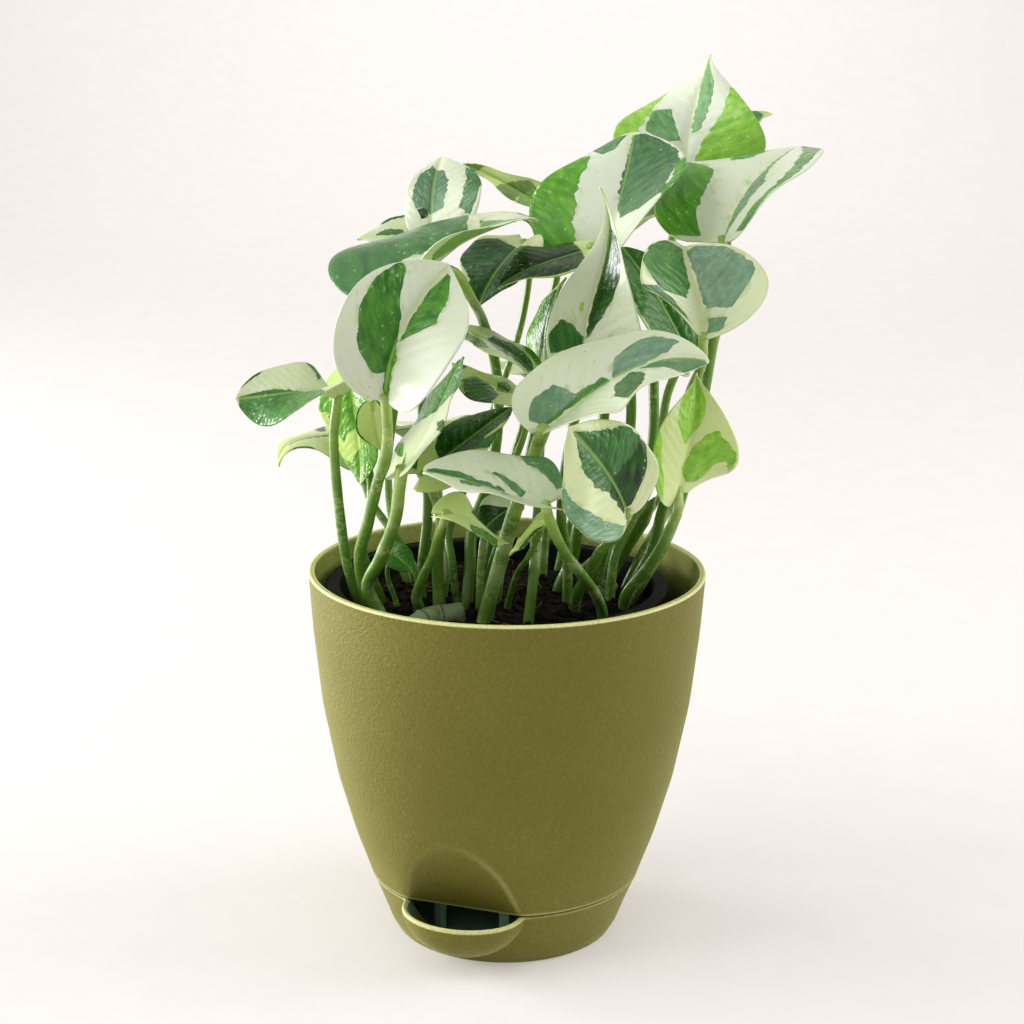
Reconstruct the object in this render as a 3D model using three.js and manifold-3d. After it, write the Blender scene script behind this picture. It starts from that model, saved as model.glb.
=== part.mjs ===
// A variegated pothos in a round self-watering pot, in millimetres, +Z up.
// The origin is the centre of the reservoir's flat underside, and the viewer's side is -Y.
import * as THREE from 'three';
import { mergeVertices } from 'three/addons/utils/BufferGeometryUtils.js';
import Module from 'manifold-3d';

const wasm = await Module();
wasm.setup();

// Driving dimensions of the pot.
const CLEARANCE = 0.3;
const WALL = 2;
const POT_SIDES = 40;
const ROUND_SIDES = 24;
const SEAM_Z = 20;
const RIM_CHAMFER = 0.5;
const FLOOR_INSET = 1.3;
const FOOT_INSET = 1;
const POT_PROFILE = [[45.2, 20.3], [50.5, 35], [56.2, 55], [61, 80], [63.7, 105], [65, 124]];
const RESERVOIR_PROFILE = [[36.5, 0], [38.8, 4], [41.8, 12], [45.1, 20]];

// The filling spout: a pouch in front of a flat cut in the pot's wall, 19 degrees left of the viewer's axis.
const SPOUT_BEARING = THREE.MathUtils.degToRad(-19);
const SPOUT_CHORD = 40.5;
const SPOUT_CUT_TOP = [53.4, 45.7];
const POUCH_RADII = [20.3, 16.8, 15];
const POUCH_WALL = 1.8;

// The feet that carry the wick basket, and the openings in the pot's floor above them.
const BASKET_RADIUS = 30;
const BASKET_POSTS = 8;
const BASKET_PLATE = 2;
const POST_SIZE = [2.4, 3.2];
const FLOOR_HOLES = 6;
const FLOOR_HOLE_RADIUS = 3.5;
const FLOOR_HOLE_CIRCLE = 17;
const FLOOR_HOLE_SIDES = 8;

// The nursery pot inside, and its soil.
const NURSERY_X = -3.4;
const NURSERY_SIDES = 32;
const NURSERY_WALL = 1.2;
const NURSERY_PROFILE = [[33, 22.6], [34.5, 24], [52.6, 113], [52.6, 117.4], [56, 117.4], [56, 119]];
const SOIL_Z = 112;
const STALK_DEPTH = 11;

// The blades and stalks.
const BLADE_THICKNESS = 0.7;
const TIP_HALF_WIDTH = 0.6;
const FULL_SIZE_WIDTH = 24;
const STALK_SIDES = 5;
const STALK_STEP = 18;
const LEAST_STALK_STEPS = 4;
const STALK_SOCKET = 0.42;
const STALK_FLARE = 1.5;
const HEAD_REACH = [0.6, 1.8];
const LARGE_GRID = [8, 6];
const SMALL_GRID = [6, 4];
const RISE_POWERS = [2.4, 0.62];
const FALL_POWER = 1.9;
const LOBE_POWERS = [1.3, 2.5];
const RIPPLE_FADE = 0.3;

// Each leaf, by its measured places in millimetres and its angles in degrees.
// base and tip are the ends of the midrib. faces is the bearing of the upper face, from the viewer's side
// towards +X, and its height above level. halves are the widths left and right of the midrib. rise and sway
// bow the midrib along the face and across it, as shares of its length. fold and curl lift and bend each
// half, at the base and at the tip. outline is the share of the length where the blade is widest, the share
// of the width left at its base, and how fast it tapers. lobes reach back beside the stalk. wave is the
// margin's amplitude, waves and phase. The stalk runs from the base by its points to its foot in the soil.
const LEAVES = {
  leaf_01: {
    base: [-54, -12, 182.5], tip: [-85, -21.5, 184], faces: [20, 56], halves: [17, 13.5],
    rise: [0.24, -0.01], sway: [-0.07, 0.01], fold: [[70, -15], [10, 10]], curl: [[0, -25], [-15, -10]],
    twist: -30, outline: [0.33, 0.3, 0.78], lobes: [0.06, 0.06], wave: [0.7, 1.5, 0.4],
    foot: [-49, -3], radii: [1.5, 1.9],
    stalk: [[-55.5, -11, 168.5], [-54.5, -8, 148], [-52.5, -4, 127]],
  },
  leaf_02: {
    base: [-55, 24, 163], tip: [-75, 4, 156.5], faces: [-66, 76], halves: [15, 11],
    rise: [0.05, 0.3], sway: [-0.01, 0.23], fold: [[-25, 10], [5, 5]], curl: [[-40, -10], [-20, -15]],
    twist: 25, outline: [0.27, 0.3, 1.48], lobes: [0.16, 0.16], wave: [0.7, 1.5, 0.6],
    foot: [-28, 2], radii: [1.2, 1.7],
    stalk: [[-49, 13, 153], [-45.5, 11, 143.5], [-41, 8, 137.5], [-37, 6, 132.5], [-33, 4, 126.5],
      [-29.5, 2, 119.5]],
  },
  leaf_03: {
    base: [-51, 4, 184.5], tip: [-48, -2.5, 152], faces: [-43, 4], halves: [12.5, 13.5],
    rise: [0.06, -0.04], sway: [-0.07, -0.05], fold: [[20, 5], [20, 0]], curl: [[-5, -10], [-5, -20]],
    twist: 5, outline: [0.32, 0.3, 0.8], lobes: [0.17, 0.17], wave: [0.7, 2, 0.2],
    foot: [-45, 7], radii: [1.2, 1.6],
    stalk: [[-48, 8, 167.5], [-45, 5, 151.5], [-45.5, 2, 139], [-48, 2, 125.5]],
  },
  leaf_03_b: {
    base: [-43, -14, 181.5], tip: [-40.5, -11, 165], faces: [5, -10], halves: [5, 6.5],
    rise: [0.05, 0.05], sway: [0.04, 0], fold: [[25, 15], [30, 10]], curl: [[-5, -5], [0, -10]],
    twist: 5, outline: [0.39, 0.27, 1.31], lobes: [0.05, 0.05], wave: [0.4, 1.5, 0],
    foot: [-41, 0], radii: [1, 1.4],
    stalk: [[-39.5, -12, 172], [-40.5, -10, 158.5], [-43.5, -6, 147.5], [-47, -2, 130]],
  },
  leaf_04: {
    base: [-36.5, -51, 190], tip: [-18, -42, 229.5], faces: [-9, 17], halves: [19.5, 23],
    rise: [0.35, 0.1], sway: [-0.08, -0.07], fold: [[30, 35], [35, 20]], curl: [[0, 10], [5, 0]],
    twist: 5, outline: [0.46, 0.1, 0.93], lobes: [0, 0], wave: [0.9, 1.5, 0.6],
    foot: [-45, -11], radii: [1.7, 2.1],
    stalk: [[-36.5, -43, 180.5], [-37, -40, 172], [-40.5, -32, 159], [-44, -22, 144.5],
      [-47.5, -13, 129.5]],
  },
  leaf_05: {
    base: [-32.5, -38, 165], tip: [-14.5, -14.5, 196.5], faces: [-71, 38], halves: [19.5, 15],
    rise: [-0.06, -0.01], sway: [0, 0], fold: [[5, 0], [15, 15]], curl: [[-20, -15], [-10, -5]],
    twist: -5, outline: [0.42, 0.18, 0.65], lobes: [0.07, 0.07], wave: [0.7, 2.5, 0.4],
    foot: [-40, -20], radii: [2, 2.3],
    stalk: [[-33.5, -36, 158], [-35, -32, 148], [-40, -25, 133.5], [-44.5, -20, 122.5]],
  },
  leaf_06: {
    base: [-26, 25, 230], tip: [-23, 42.5, 253.5], faces: [-21, 36], halves: [9.5, 18],
    rise: [0.13, 0.1], sway: [0.01, -0.03], fold: [[15, 5], [15, 10]], curl: [[-15, -10], [-10, -10]],
    twist: -5, outline: [0.44, 0.29, 1.04], lobes: [0.11, 0.11], wave: [0.7, 1.5, 0.2],
    foot: [-29, 12], radii: [1.5, 1.8],
    stalk: [[-28, 15, 209.5], [-28.5, 12, 177], [-26.5, 8, 149], [-26.5, 7, 138], [-28, 7, 124]],
  },
  leaf_07: {
    base: [-25, -23, 225.5], tip: [7.5, 22.5, 233], faces: [16, 77], halves: [35, 29],
    rise: [0.11, 0.31], sway: [0.05, -0.01], fold: [[5, -20], [50, -10]], curl: [[-10, -30], [10, -25]],
    twist: 0, outline: [0.2, 0.27, 1.95], lobes: [0.42, 0.12], wave: [0.9, 2.5, 0.8],
    foot: [-13, -6], radii: [1.6, 2.2],
    stalk: [[-17, -18, 223.5], [-12, -6, 213.5], [-8.5, 15, 202.5], [-4.5, 20, 187.5], [-3.5, 16, 170],
      [-6, 10, 151], [-11.5, 2, 136], [-12, -2, 126]],
  },
  leaf_08: {
    base: [17, 59.5, 232.5], tip: [-16, 52.5, 250.5], faces: [141, 55], halves: [13, 13.5],
    rise: [0.02, 0.04], sway: [0.01, -0.02], fold: [[10, 5], [15, 5]], curl: [[-15, -10], [-10, -10]],
    twist: 0, outline: [0.34, 0.3, 1.2], lobes: [0.16, 0.16], wave: [0.7, 2, 0.4],
    foot: [-8, 28], radii: [1.2, 1.6],
    stalk: [[16.5, 34, 220.5], [12, 32, 197], [5.5, 30, 167], [-2.5, 28, 139.5]],
  },
  leaf_09: {
    base: [59.5, 62, 247], tip: [68, 76.5, 286], faces: [-28, 23], halves: [25.5, 27.5],
    rise: [0.09, 0], sway: [-0.05, -0.01], fold: [[25, -15], [5, 5]], curl: [[-5, -30], [-15, -10]],
    twist: -25, outline: [0.28, 0.26, 1.54], lobes: [0, 0], wave: [0.9, 1.5, 0],
    foot: [34, 26], radii: [1.5, 2],
    stalk: [[55, 44, 229.5], [51.5, 36, 207], [48.5, 28, 183.5], [48.5, 24, 165], [46, 23, 148],
      [38.5, 23, 130.5]],
  },
  leaf_09_b: {
    base: [76.5, 74, 255.5], tip: [90.5, 80, 266], faces: [-47, 53], halves: [8, 7],
    rise: [0.1, 0.13], sway: [-0.03, -0.03], fold: [[20, 25], [25, 20]], curl: [[-5, 0], [-5, 0]],
    twist: 0, outline: [0.38, 0.3, 1.21], lobes: [0.16, 0.16], wave: [0.4, 2, 0.2],
    foot: [24, 34], radii: [0.9, 1.3],
    stalk: [[76, 54, 242], [73, 48, 219], [66.5, 42, 189], [58.5, 38, 155], [46.5, 34, 131.5]],
  },
  leaf_10: {
    base: [31.5, 25.5, 225.5], tip: [41, 50, 261.5], faces: [-33, 35], halves: [30, 27.5],
    rise: [0.09, 0], sway: [0.07, 0.04], fold: [[25, 5], [40, 0]], curl: [[0, -15], [10, -15]],
    twist: 10, outline: [0.34, 0.31, 0.7], lobes: [0.19, 0.19], wave: [0.9, 1.5, 0.4],
    foot: [29, 15], radii: [1.6, 2.1],
    stalk: [[35, 14, 210.5], [39.5, 12, 184.5], [40, 12, 167.5], [37.5, 13, 150.5], [33.5, 14, 133]],
  },
  leaf_11: {
    base: [68.5, 14, 229], tip: [94.5, 40, 258], faces: [-22, 49], halves: [38.5, 24.5],
    rise: [0.16, 0.21], sway: [-0.08, 0.03], fold: [[5, -25], [40, 25]], curl: [[-10, -20], [0, 0]],
    twist: 20, outline: [0.49, 0.33, 0.7], lobes: [0.01, 0.01], wave: [0.9, 2, 0.2],
    foot: [41, -1], radii: [1.5, 1.9],
    stalk: [[68.5, 6, 212], [65.5, 3, 198], [63.5, 1, 185], [60.5, -1, 167.5], [57, -2, 151],
      [53.5, -2, 138.5], [49, -2, 128.5]],
  },
  leaf_12: {
    base: [60, -21, 204.5], tip: [55.5, 6.5, 229], faces: [12, 49], halves: [28.5, 22.5],
    rise: [-0.1, 0.09], sway: [0.14, -0.05], fold: [[35, 30], [35, 30]], curl: [[5, 5], [0, 5]],
    twist: 5, outline: [0.42, 0.1, 0.86], lobes: [0.05, 0.05], wave: [0.9, 1.5, 0.4],
    foot: [41, 9], radii: [1.5, 2.3],
    stalk: [[61, -9, 193.5], [58, -3, 183.5], [55.5, 0, 167], [52.5, 4, 149.5], [50.5, 6, 140.5],
      [48, 8, 128.5]],
  },
  leaf_13: {
    base: [24.5, -16, 191], tip: [27.5, -9, 249], faces: [-20, 7], halves: [12, 21.5],
    rise: [-0.06, -0.13], sway: [-0.15, 0.17], fold: [[25, 10], [15, 40]], curl: [[-10, -10], [-10, 10]],
    twist: -15, outline: [0.2, 0.31, 2], lobes: [0.01, 0.01], wave: [0.7, 2, 0.4],
    foot: [20, 2], radii: [1.5, 1.8],
    stalk: [[20.5, -6, 171.5], [18, -4, 154.5], [17.5, -2, 140.5], [19.5, 0, 130]],
  },
  leaf_14: {
    base: [57.5, 10, 194.5], tip: [36, 15, 227.5], faces: [35, 27], halves: [14.5, 13.5],
    rise: [0.07, 0.06], sway: [-0.01, 0.02], fold: [[20, 15], [15, 10]], curl: [[-10, -5], [-15, -10]],
    twist: -5, outline: [0.34, 0.3, 0.85], lobes: [0.18, 0.18], wave: [0.7, 1.5, 0.8],
    foot: [34, 3], radii: [1.4, 1.8],
    stalk: [[53.5, 8, 186], [51, 8, 177], [48.5, 8, 155], [41, 6, 138.5], [35.5, 4, 127]],
  },
  leaf_15: {
    base: [10.5, -47, 180], tip: [61, -34, 199.5], faces: [-26, 60], halves: [19, 35],
    rise: [-0.05, 0.19], sway: [-0.17, -0.15], fold: [[20, 15], [35, 20]], curl: [[-10, -5], [0, -5]],
    twist: -5, outline: [0.2, 0.1, 0.7], lobes: [0.06, 0.06], wave: [0.9, 2, 0.6],
    foot: [-7, -22], radii: [2.3, 2.7],
    stalk: [[8.5, -36, 171.5], [6, -32, 161], [2.5, -28, 151], [-1.5, -24, 135]],
  },
  leaf_17: {
    base: [36, -54.5, 156], tip: [17.5, -70.5, 186.5], faces: [43, 2], halves: [21.5, 16],
    rise: [0.06, 0.03], sway: [0.06, 0.04], fold: [[25, 0], [25, 0]], curl: [[0, -20], [-5, -20]],
    twist: 0, outline: [0.44, 0.18, 1.06], lobes: [0.02, 0.02], wave: [0.9, 2.5, 0.2],
    foot: [22, -8], radii: [1.6, 2.1],
    stalk: [[34, -36, 145], [29.5, -30, 138.5], [26.5, -20, 128.5], [23, -13, 119.5]],
  },
  leaf_18: {
    base: [54, -18, 154], tip: [59, -12, 191.5], faces: [20, 6], halves: [14, 18.5],
    rise: [0.17, 0.05], sway: [-0.08, 0.05], fold: [[25, 10], [0, 25]], curl: [[-5, -10], [-25, 5]],
    twist: -25, outline: [0.31, 0.32, 1.51], lobes: [0.06, 0.06], wave: [0.7, 1.5, 0.2],
    foot: [38, -8], radii: [1.7, 2],
    stalk: [[53.5, -20, 147.5], [49, -17, 136], [44.5, -14, 127.5], [39, -11, 119]],
  },
  leaf_19: {
    base: [11.5, -60, 160], tip: [-25, -59, 170], faces: [48, 69], halves: [13.5, 18.5],
    rise: [0.01, -0.02], sway: [-0.02, 0.14], fold: [[30, 10], [25, 10]], curl: [[0, -10], [0, -10]],
    twist: 0, outline: [0.29, 0.29, 0.7], lobes: [0.13, 0.13], wave: [0.7, 2, 0.4],
    foot: [31, -16], radii: [1.6, 1.9],
    stalk: [[12.5, -55, 155], [17, -44, 142.5], [23, -33, 131.5], [28.5, -22, 121]],
  },
  leaf_20: {
    base: [-27.5, -14, 158.5], tip: [1.5, 1, 177.5], faces: [-30, 55], halves: [13.5, 14.5],
    rise: [-0.01, 0.05], sway: [0.01, 0.04], fold: [[20, 5], [15, 20]], curl: [[-10, -15], [-15, -5]],
    twist: -15, outline: [0.32, 0.3, 0.97], lobes: [0.16, 0.16], wave: [0.7, 1.5, 0.8],
    foot: [-22, -7], radii: [1.6, 2.3],
    stalk: [[-24, -12, 152], [-21.5, -9, 142], [-22.5, -7, 130], [-22.5, -6, 121]],
  },
  leaf_21: {
    base: [8.5, -9.5, 188.5], tip: [-15.5, 9, 203], faces: [60, 64], halves: [15.5, 11.5],
    rise: [0.13, 0], sway: [0.03, -0.02], fold: [[20, 5], [5, 10]], curl: [[-5, -15], [-25, -10]],
    twist: -15, outline: [0.42, 0.31, 1.07], lobes: [0.16, 0.16], wave: [0.7, 2, 0],
    foot: [-6, 2], radii: [1.2, 1.6],
    stalk: [[10.5, 4, 178.5], [8.5, 6, 169.5], [5, 4, 152.5], [-1, 2, 136], [-5.5, 0, 123]],
  },
  leaf_22: {
    base: [7, -9.5, 181], tip: [-18.5, 2.5, 191.5], faces: [44, 68], halves: [14.5, 10.5],
    rise: [0.01, 0], sway: [-0.06, -0.04], fold: [[15, 0], [0, 0]], curl: [[-15, -15], [-25, -15]],
    twist: -10, outline: [0.42, 0.3, 1.2], lobes: [0.15, 0.15], wave: [0.7, 2, 0.8],
    foot: [-9, -9], radii: [1.1, 1.4],
    stalk: [[4.5, -6, 168], [-2, -2, 150.5], [-7, -4, 137.5], [-8.5, -6, 128]],
  },
  leaf_23: {
    base: [12, 12, 187], tip: [18, 15.5, 217.5], faces: [-72, 13], halves: [11.5, 11.5],
    rise: [0.12, 0.13], sway: [0, 0.01], fold: [[15, 10], [10, 20]], curl: [[-10, -10], [-15, 0]],
    twist: -10, outline: [0.37, 0.3, 1.32], lobes: [0.14, 0.14], wave: [0.4, 2.5, 0.4],
    foot: [7, -22], radii: [1.4, 1.9],
    stalk: [[11, 12, 177.5], [10.5, 12, 160.5], [10, 0, 146.5], [9, -14, 137], [8.5, -20, 127]],
  },
  leaf_24: {
    base: [4.5, 30, 227], tip: [-10, 12.5, 208], faces: [-25, 49], halves: [11.5, 15],
    rise: [0.09, 0.09], sway: [0, 0.05], fold: [[15, 10], [10, 20]], curl: [[-10, -10], [-20, -5]],
    twist: -10, outline: [0.4, 0.29, 1.14], lobes: [0.13, 0.13], wave: [0.7, 2.5, 0.2],
    foot: [-16.5, -2], radii: [1.1, 1.4],
    stalk: [[6.5, 26, 218], [3.5, 28, 198], [-4, 27, 174.5], [-12, 18, 152.5], [-19, 4, 135.5],
      [-18, -2, 126]],
  },
  leaf_25: {
    base: [26, 11.5, 227.5], tip: [-3.5, -3, 216.5], faces: [-24, 66], halves: [13, 13],
    rise: [0.03, 0.11], sway: [-0.03, 0.01], fold: [[10, 15], [0, 15]], curl: [[-20, -5], [-25, -5]],
    twist: -5, outline: [0.37, 0.3, 1.16], lobes: [0.14, 0.14], wave: [0.7, 2, 0.6],
    foot: [17, 12], radii: [1.5, 2.1],
    stalk: [[30.5, 22, 212.5], [32, 16, 183.5], [30, 12, 161], [25.5, 10, 144.5], [23, 10, 133.5],
      [22, 11, 125]],
  },
  leaf_26: {
    base: [-29, 34, 227.5], tip: [-50.5, 30, 227.5], faces: [11, 55], halves: [8.5, 9],
    rise: [0.05, 0.04], sway: [-0.05, 0.01], fold: [[15, 15], [25, 0]], curl: [[-10, -5], [-5, -15]],
    twist: 10, outline: [0.3, 0.3, 1.35], lobes: [0.16, 0.16], wave: [0.4, 2.5, 0.4],
    foot: [-21, 4], radii: [1, 1.4],
    stalk: [[-30, 28, 211], [-30.5, 26, 181], [-26, 20, 151.5], [-21, 10, 133.5], [-20, 6, 123.5]],
  },
  leaf_28: {
    base: [-19, -40, 152], tip: [0.5, -33.5, 141.5], faces: [72, 57], halves: [11, 10],
    rise: [0.26, -0.11], sway: [0.06, -0.02], fold: [[20, -10], [20, 0]], curl: [[0, -20], [-5, -20]],
    twist: -5, outline: [0.39, 0.1, 1.19], lobes: [0.19, 0.19], wave: [0.4, 2, 0.6],
    foot: [-28, -14], radii: [1.3, 2.1],
    stalk: [[-20, -38, 148.5], [-22, -34, 142], [-23.5, -30, 135.5], [-26.5, -24, 127.5],
      [-29, -18, 119]],
  },
  leaf_29: {
    base: [2, -12, 147], tip: [-9.5, -17, 139], faces: [-21, 48], halves: [7, 8],
    rise: [0.14, 0.1], sway: [0.02, -0.03], fold: [[30, 15], [25, 10]], curl: [[-10, -15], [-15, -10]],
    twist: -10, outline: [0.36, 0.3, 1.1], lobes: [0.16, 0.16], wave: [0.4, 1.5, 0.2],
    foot: [-3, -3], radii: [0.9, 1.2],
    stalk: [[-0.5, -8, 133.5]],
  },
  leaf_30: {
    base: [12, -34, 150], tip: [0.5, -34.5, 138], faces: [-75, 43], halves: [6.5, 6],
    rise: [0.03, -0.02], sway: [-0.02, -0.03], fold: [[15, 5], [10, 0]], curl: [[-10, -10], [-20, -15]],
    twist: 0, outline: [0.36, 0.3, 1.22], lobes: [0.16, 0.16], wave: [0.4, 2, 0.4],
    foot: [0, -9], radii: [0.9, 1.2],
    stalk: [[10, -30, 143], [6.5, -26, 134.5], [3, -17, 126]],
  },
  leaf_31: {
    base: [-37.5, -8, 130.5], tip: [-30.5, -13, 125.5], faces: [7, 49], halves: [5, 5.5],
    rise: [0.14, 0.1], sway: [0.02, -0.03], fold: [[30, 15], [25, 10]], curl: [[-10, -15], [-15, -10]],
    twist: -10, outline: [0.36, 0.3, 1.1], lobes: [0.16, 0.16], wave: [0.4, 1.5, 0],
    foot: [-36, -6], radii: [0.8, 1.1],
    stalk: [[-39, -6, 122.5]],
  },
  leaf_back_1: {
    base: [-34, 52, 204], tip: [-44, 86, 186], faces: [-161, 63], halves: [18, 17],
    rise: [0.14, 0.2], sway: [0.02, -0.03], fold: [[20, 5], [25, 10]], curl: [[-30, -15], [-25, -20]],
    twist: 10, outline: [0.36, 0.3, 1.1], lobes: [0.16, 0.16], wave: [0.7, 1.5, 0.6],
    foot: [-34, 24], radii: [1.3, 1.8],
    stalk: [[-41, 48, 155.5], [-41.5, 42, 140.5], [-39.5, 32, 127.5], [-37.5, 27, 119.5]],
  },
  leaf_back_2: {
    base: [-26, 52, 160], tip: [-30, 82, 140], faces: [-179, 56], halves: [14, 15],
    rise: [0.14, 0.2], sway: [0.02, -0.03], fold: [[20, 5], [25, 10]], curl: [[-30, -15], [-25, -20]],
    twist: 10, outline: [0.36, 0.3, 1.1], lobes: [0.16, 0.16], wave: [0.7, 2.5, 0.4],
    foot: [-23, 32], radii: [1.3, 1.8],
    stalk: [[-25, 48, 145], [-23.5, 42, 132], [-23, 36, 121.5]],
  },
  leaf_back_3: {
    base: [35, 62, 234], tip: [41, 98, 220], faces: [168, 69], halves: [19, 18],
    rise: [0.14, 0.2], sway: [0.02, -0.03], fold: [[20, 5], [25, 10]], curl: [[-30, -15], [-25, -20]],
    twist: 10, outline: [0.36, 0.3, 1.1], lobes: [0.16, 0.16], wave: [0.9, 2.5, 0.8],
    foot: [18, 40], radii: [1.3, 1.8],
    stalk: [[32.5, 56, 203.5], [33.5, 52, 176.5], [30.5, 48, 152.5], [23, 44, 132]],
  },
  leaf_back_4: {
    base: [10, 50, 180], tip: [12, 82, 168], faces: [173, 69], halves: [16, 15],
    rise: [0.14, 0.2], sway: [0.02, -0.03], fold: [[20, 5], [25, 10]], curl: [[-30, -15], [-25, -20]],
    twist: 10, outline: [0.36, 0.3, 1.1], lobes: [0.16, 0.16], wave: [0.7, 2.5, 0.6],
    foot: [12, 31], radii: [1.3, 1.8],
    stalk: [[9.5, 46, 160], [11.5, 42, 143], [13, 36, 130.5]],
  },
  leaf_back_5: {
    base: [64, 62, 206], tip: [70, 92, 190], faces: [143, 60], halves: [16, 17],
    rise: [0.14, 0.2], sway: [0.02, -0.03], fold: [[20, 5], [25, 10]], curl: [[-30, -15], [-25, -20]],
    twist: 10, outline: [0.36, 0.3, 1.1], lobes: [0.16, 0.16], wave: [0.7, 2.5, 0.4],
    foot: [39.5, 14], radii: [1.3, 1.8],
    stalk: [[69, 60, 168], [66.5, 46, 157], [59.5, 28, 145], [48.5, 17, 130.5]],
  },
};

// Old pieces of stem that lie half sunk in the soil, and a new leaf that is still rolled up.
const STEMS = {
  stem_front: { path: [[-31, -30, 112], [-24, -23.5, 113.5], [-14, -19.5, 114]], radii: [3.4, 3.8, 3.5] },
  stem_right: { path: [[30.5, 7.5, 112.5], [33, 9.8, 114], [35.5, 12.3, 114]], radii: [2.2, 2.5, 2.3] },
};
const ROLLED_LEAF = {
  path: [[35, 20.5, 101], [35, 20.5, 112], [37, 18.5, 120], [42.5, 14, 132.5], [48.5, 8, 146]],
  radii: [1.6, 1.7, 2, 2.9, 0.5],
};

const FINISHES = {
  pot: { color: 0x8a8752, roughness: 0.62 },
  basket: { color: 0x7fa08a, roughness: 0.5 },
  nursery: { color: 0x23261f, roughness: 0.7 },
  soil: { color: 0x2a1f18, roughness: 1 },
  leaf: { color: 0x6f9a52, roughness: 0.35 },
  paleLeaf: { color: 0xdfe3cf, roughness: 0.35 },
  stem: { color: 0x6d7f5c, roughness: 0.6 },
};
const PALE_LEAVES = ['leaf_03_b', 'leaf_04', 'leaf_06', 'leaf_09', 'leaf_10', 'leaf_12', 'leaf_13', 'leaf_15',
  'leaf_19'];

const model = new THREE.Group();
const radians = THREE.MathUtils.degToRad;

// A closed geometry as a solid: shared vertices merged, empty triangles dropped, faces turned outwards.
function solid(source) {
  const geometry = source.clone();
  geometry.deleteAttribute('normal');
  geometry.deleteAttribute('uv');
  const merged = mergeVertices(geometry, 1e-4);
  const corners = merged.index.array;
  const kept = [];
  for (let i = 0; i < corners.length; i += 3) {
    const [a, b, c] = corners.slice(i, i + 3);
    if (a !== b && b !== c && c !== a) kept.push(a, b, c);
  }
  const vertices = Float32Array.from(merged.attributes.position.array);
  if (signedVolume(vertices, kept) < 0) kept.reverse();
  const mesh = new wasm.Mesh({ numProp: 3, vertProperties: vertices, triVerts: Uint32Array.from(kept) });
  return new wasm.Manifold(mesh);
}

function signedVolume(vertices, triangles) {
  const point = (i) => new THREE.Vector3().fromArray(vertices, 3 * triangles[i]);
  let volume = 0;
  for (let i = 0; i < triangles.length; i += 3) volume += point(i).dot(point(i + 1).cross(point(i + 2)));
  return volume;
}

function addNode(name, body, finish) {
  const { vertProperties, triVerts } = body.getMesh();
  const geometry = new THREE.BufferGeometry();
  geometry.setAttribute('position', new THREE.BufferAttribute(Float32Array.from(vertProperties), 3));
  geometry.setIndex(new THREE.BufferAttribute(Uint32Array.from(triVerts), 1));
  geometry.computeVertexNormals();
  const mesh = new THREE.Mesh(geometry, new THREE.MeshStandardMaterial({ ...finish, metalness: 0 }));
  mesh.name = name;
  model.add(mesh);
}

// A profile of [radius, height] pairs turned about a vertical axis at x.
function turned(profile, sides, x = 0) {
  const points = profile.map(([radius, height]) => new THREE.Vector2(radius, height));
  return solid(new THREE.LatheGeometry(points, sides).rotateX(Math.PI / 2).translate(x, 0, 0));
}

// A disc or post on a vertical axis, from z = low to z = high.
function upright(radius, low, high, x, y, sides) {
  const cylinder = new THREE.CylinderGeometry(radius, radius, high - low, sides);
  return solid(cylinder.rotateX(Math.PI / 2).translate(x, y, (low + high) / 2));
}

// The space in front of the spout's flat cut. It starts at the seam's chord and leans out as it rises.
function spoutWedge(inset) {
  const size = 120;
  const [topRadius, topZ] = SPOUT_CUT_TOP;
  const lean = Math.atan2(topRadius - SPOUT_CHORD, topZ - SEAM_Z);
  const box = new THREE.BoxGeometry(size, size, size).translate(size / 2 - inset, 0, 0).rotateY(lean);
  box.translate(SPOUT_CHORD, 0, SEAM_Z).rotateZ(SPOUT_BEARING - Math.PI / 2);
  return solid(box);
}

function upperPot() {
  const [, floorZ] = POT_PROFILE[0];
  const [rimRadius, rimZ] = POT_PROFILE.at(-1);
  const wallPoints = POT_PROFILE.slice(0, -1);
  const outside = turned([[0, floorZ], ...wallPoints, [rimRadius, rimZ - RIM_CHAMFER],
    [rimRadius - RIM_CHAMFER, rimZ], [0, rimZ]], POT_SIDES);
  const inner = wallPoints.slice(1).map(([radius, z]) => [radius - WALL, z]);
  const hollow = turned([[0, floorZ + WALL], [POT_PROFILE[0][0] - FLOOR_INSET, floorZ + WALL], ...inner,
    [rimRadius - WALL, rimZ - RIM_CHAMFER], [rimRadius - WALL + RIM_CHAMFER, rimZ],
    [rimRadius - WALL + RIM_CHAMFER, rimZ + WALL], [0, rimZ + WALL]], POT_SIDES);
  let body = outside.subtract(spoutWedge(0)).subtract(hollow.subtract(spoutWedge(WALL)));
  for (let i = 0; i < FLOOR_HOLES; i += 1) {
    const turn = (2 * Math.PI * i) / FLOOR_HOLES;
    const [x, y] = [FLOOR_HOLE_CIRCLE * Math.cos(turn), FLOOR_HOLE_CIRCLE * Math.sin(turn)];
    const [low, high] = [floorZ - WALL, floorZ + 2 * WALL];
    body = body.subtract(upright(FLOOR_HOLE_RADIUS, low, high, x, y, FLOOR_HOLE_SIDES));
  }
  return body;
}

// The lower half of an ellipsoid about the middle of the spout's chord.
function pouchBowl(shrink, top) {
  const [across, out, down] = POUCH_RADII.map((radius) => radius - shrink);
  const ball = new THREE.SphereGeometry(1, ROUND_SIDES, ROUND_SIDES / 2);
  const bowl = ball.rotateX(Math.PI / 2).scale(out, across, down);
  bowl.translate(SPOUT_CHORD, 0, SEAM_Z).rotateZ(SPOUT_BEARING - Math.PI / 2);
  const size = 200;
  const above = new THREE.BoxGeometry(size, size, size).translate(0, 0, top + size / 2);
  return solid(bowl).subtract(solid(above));
}

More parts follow.
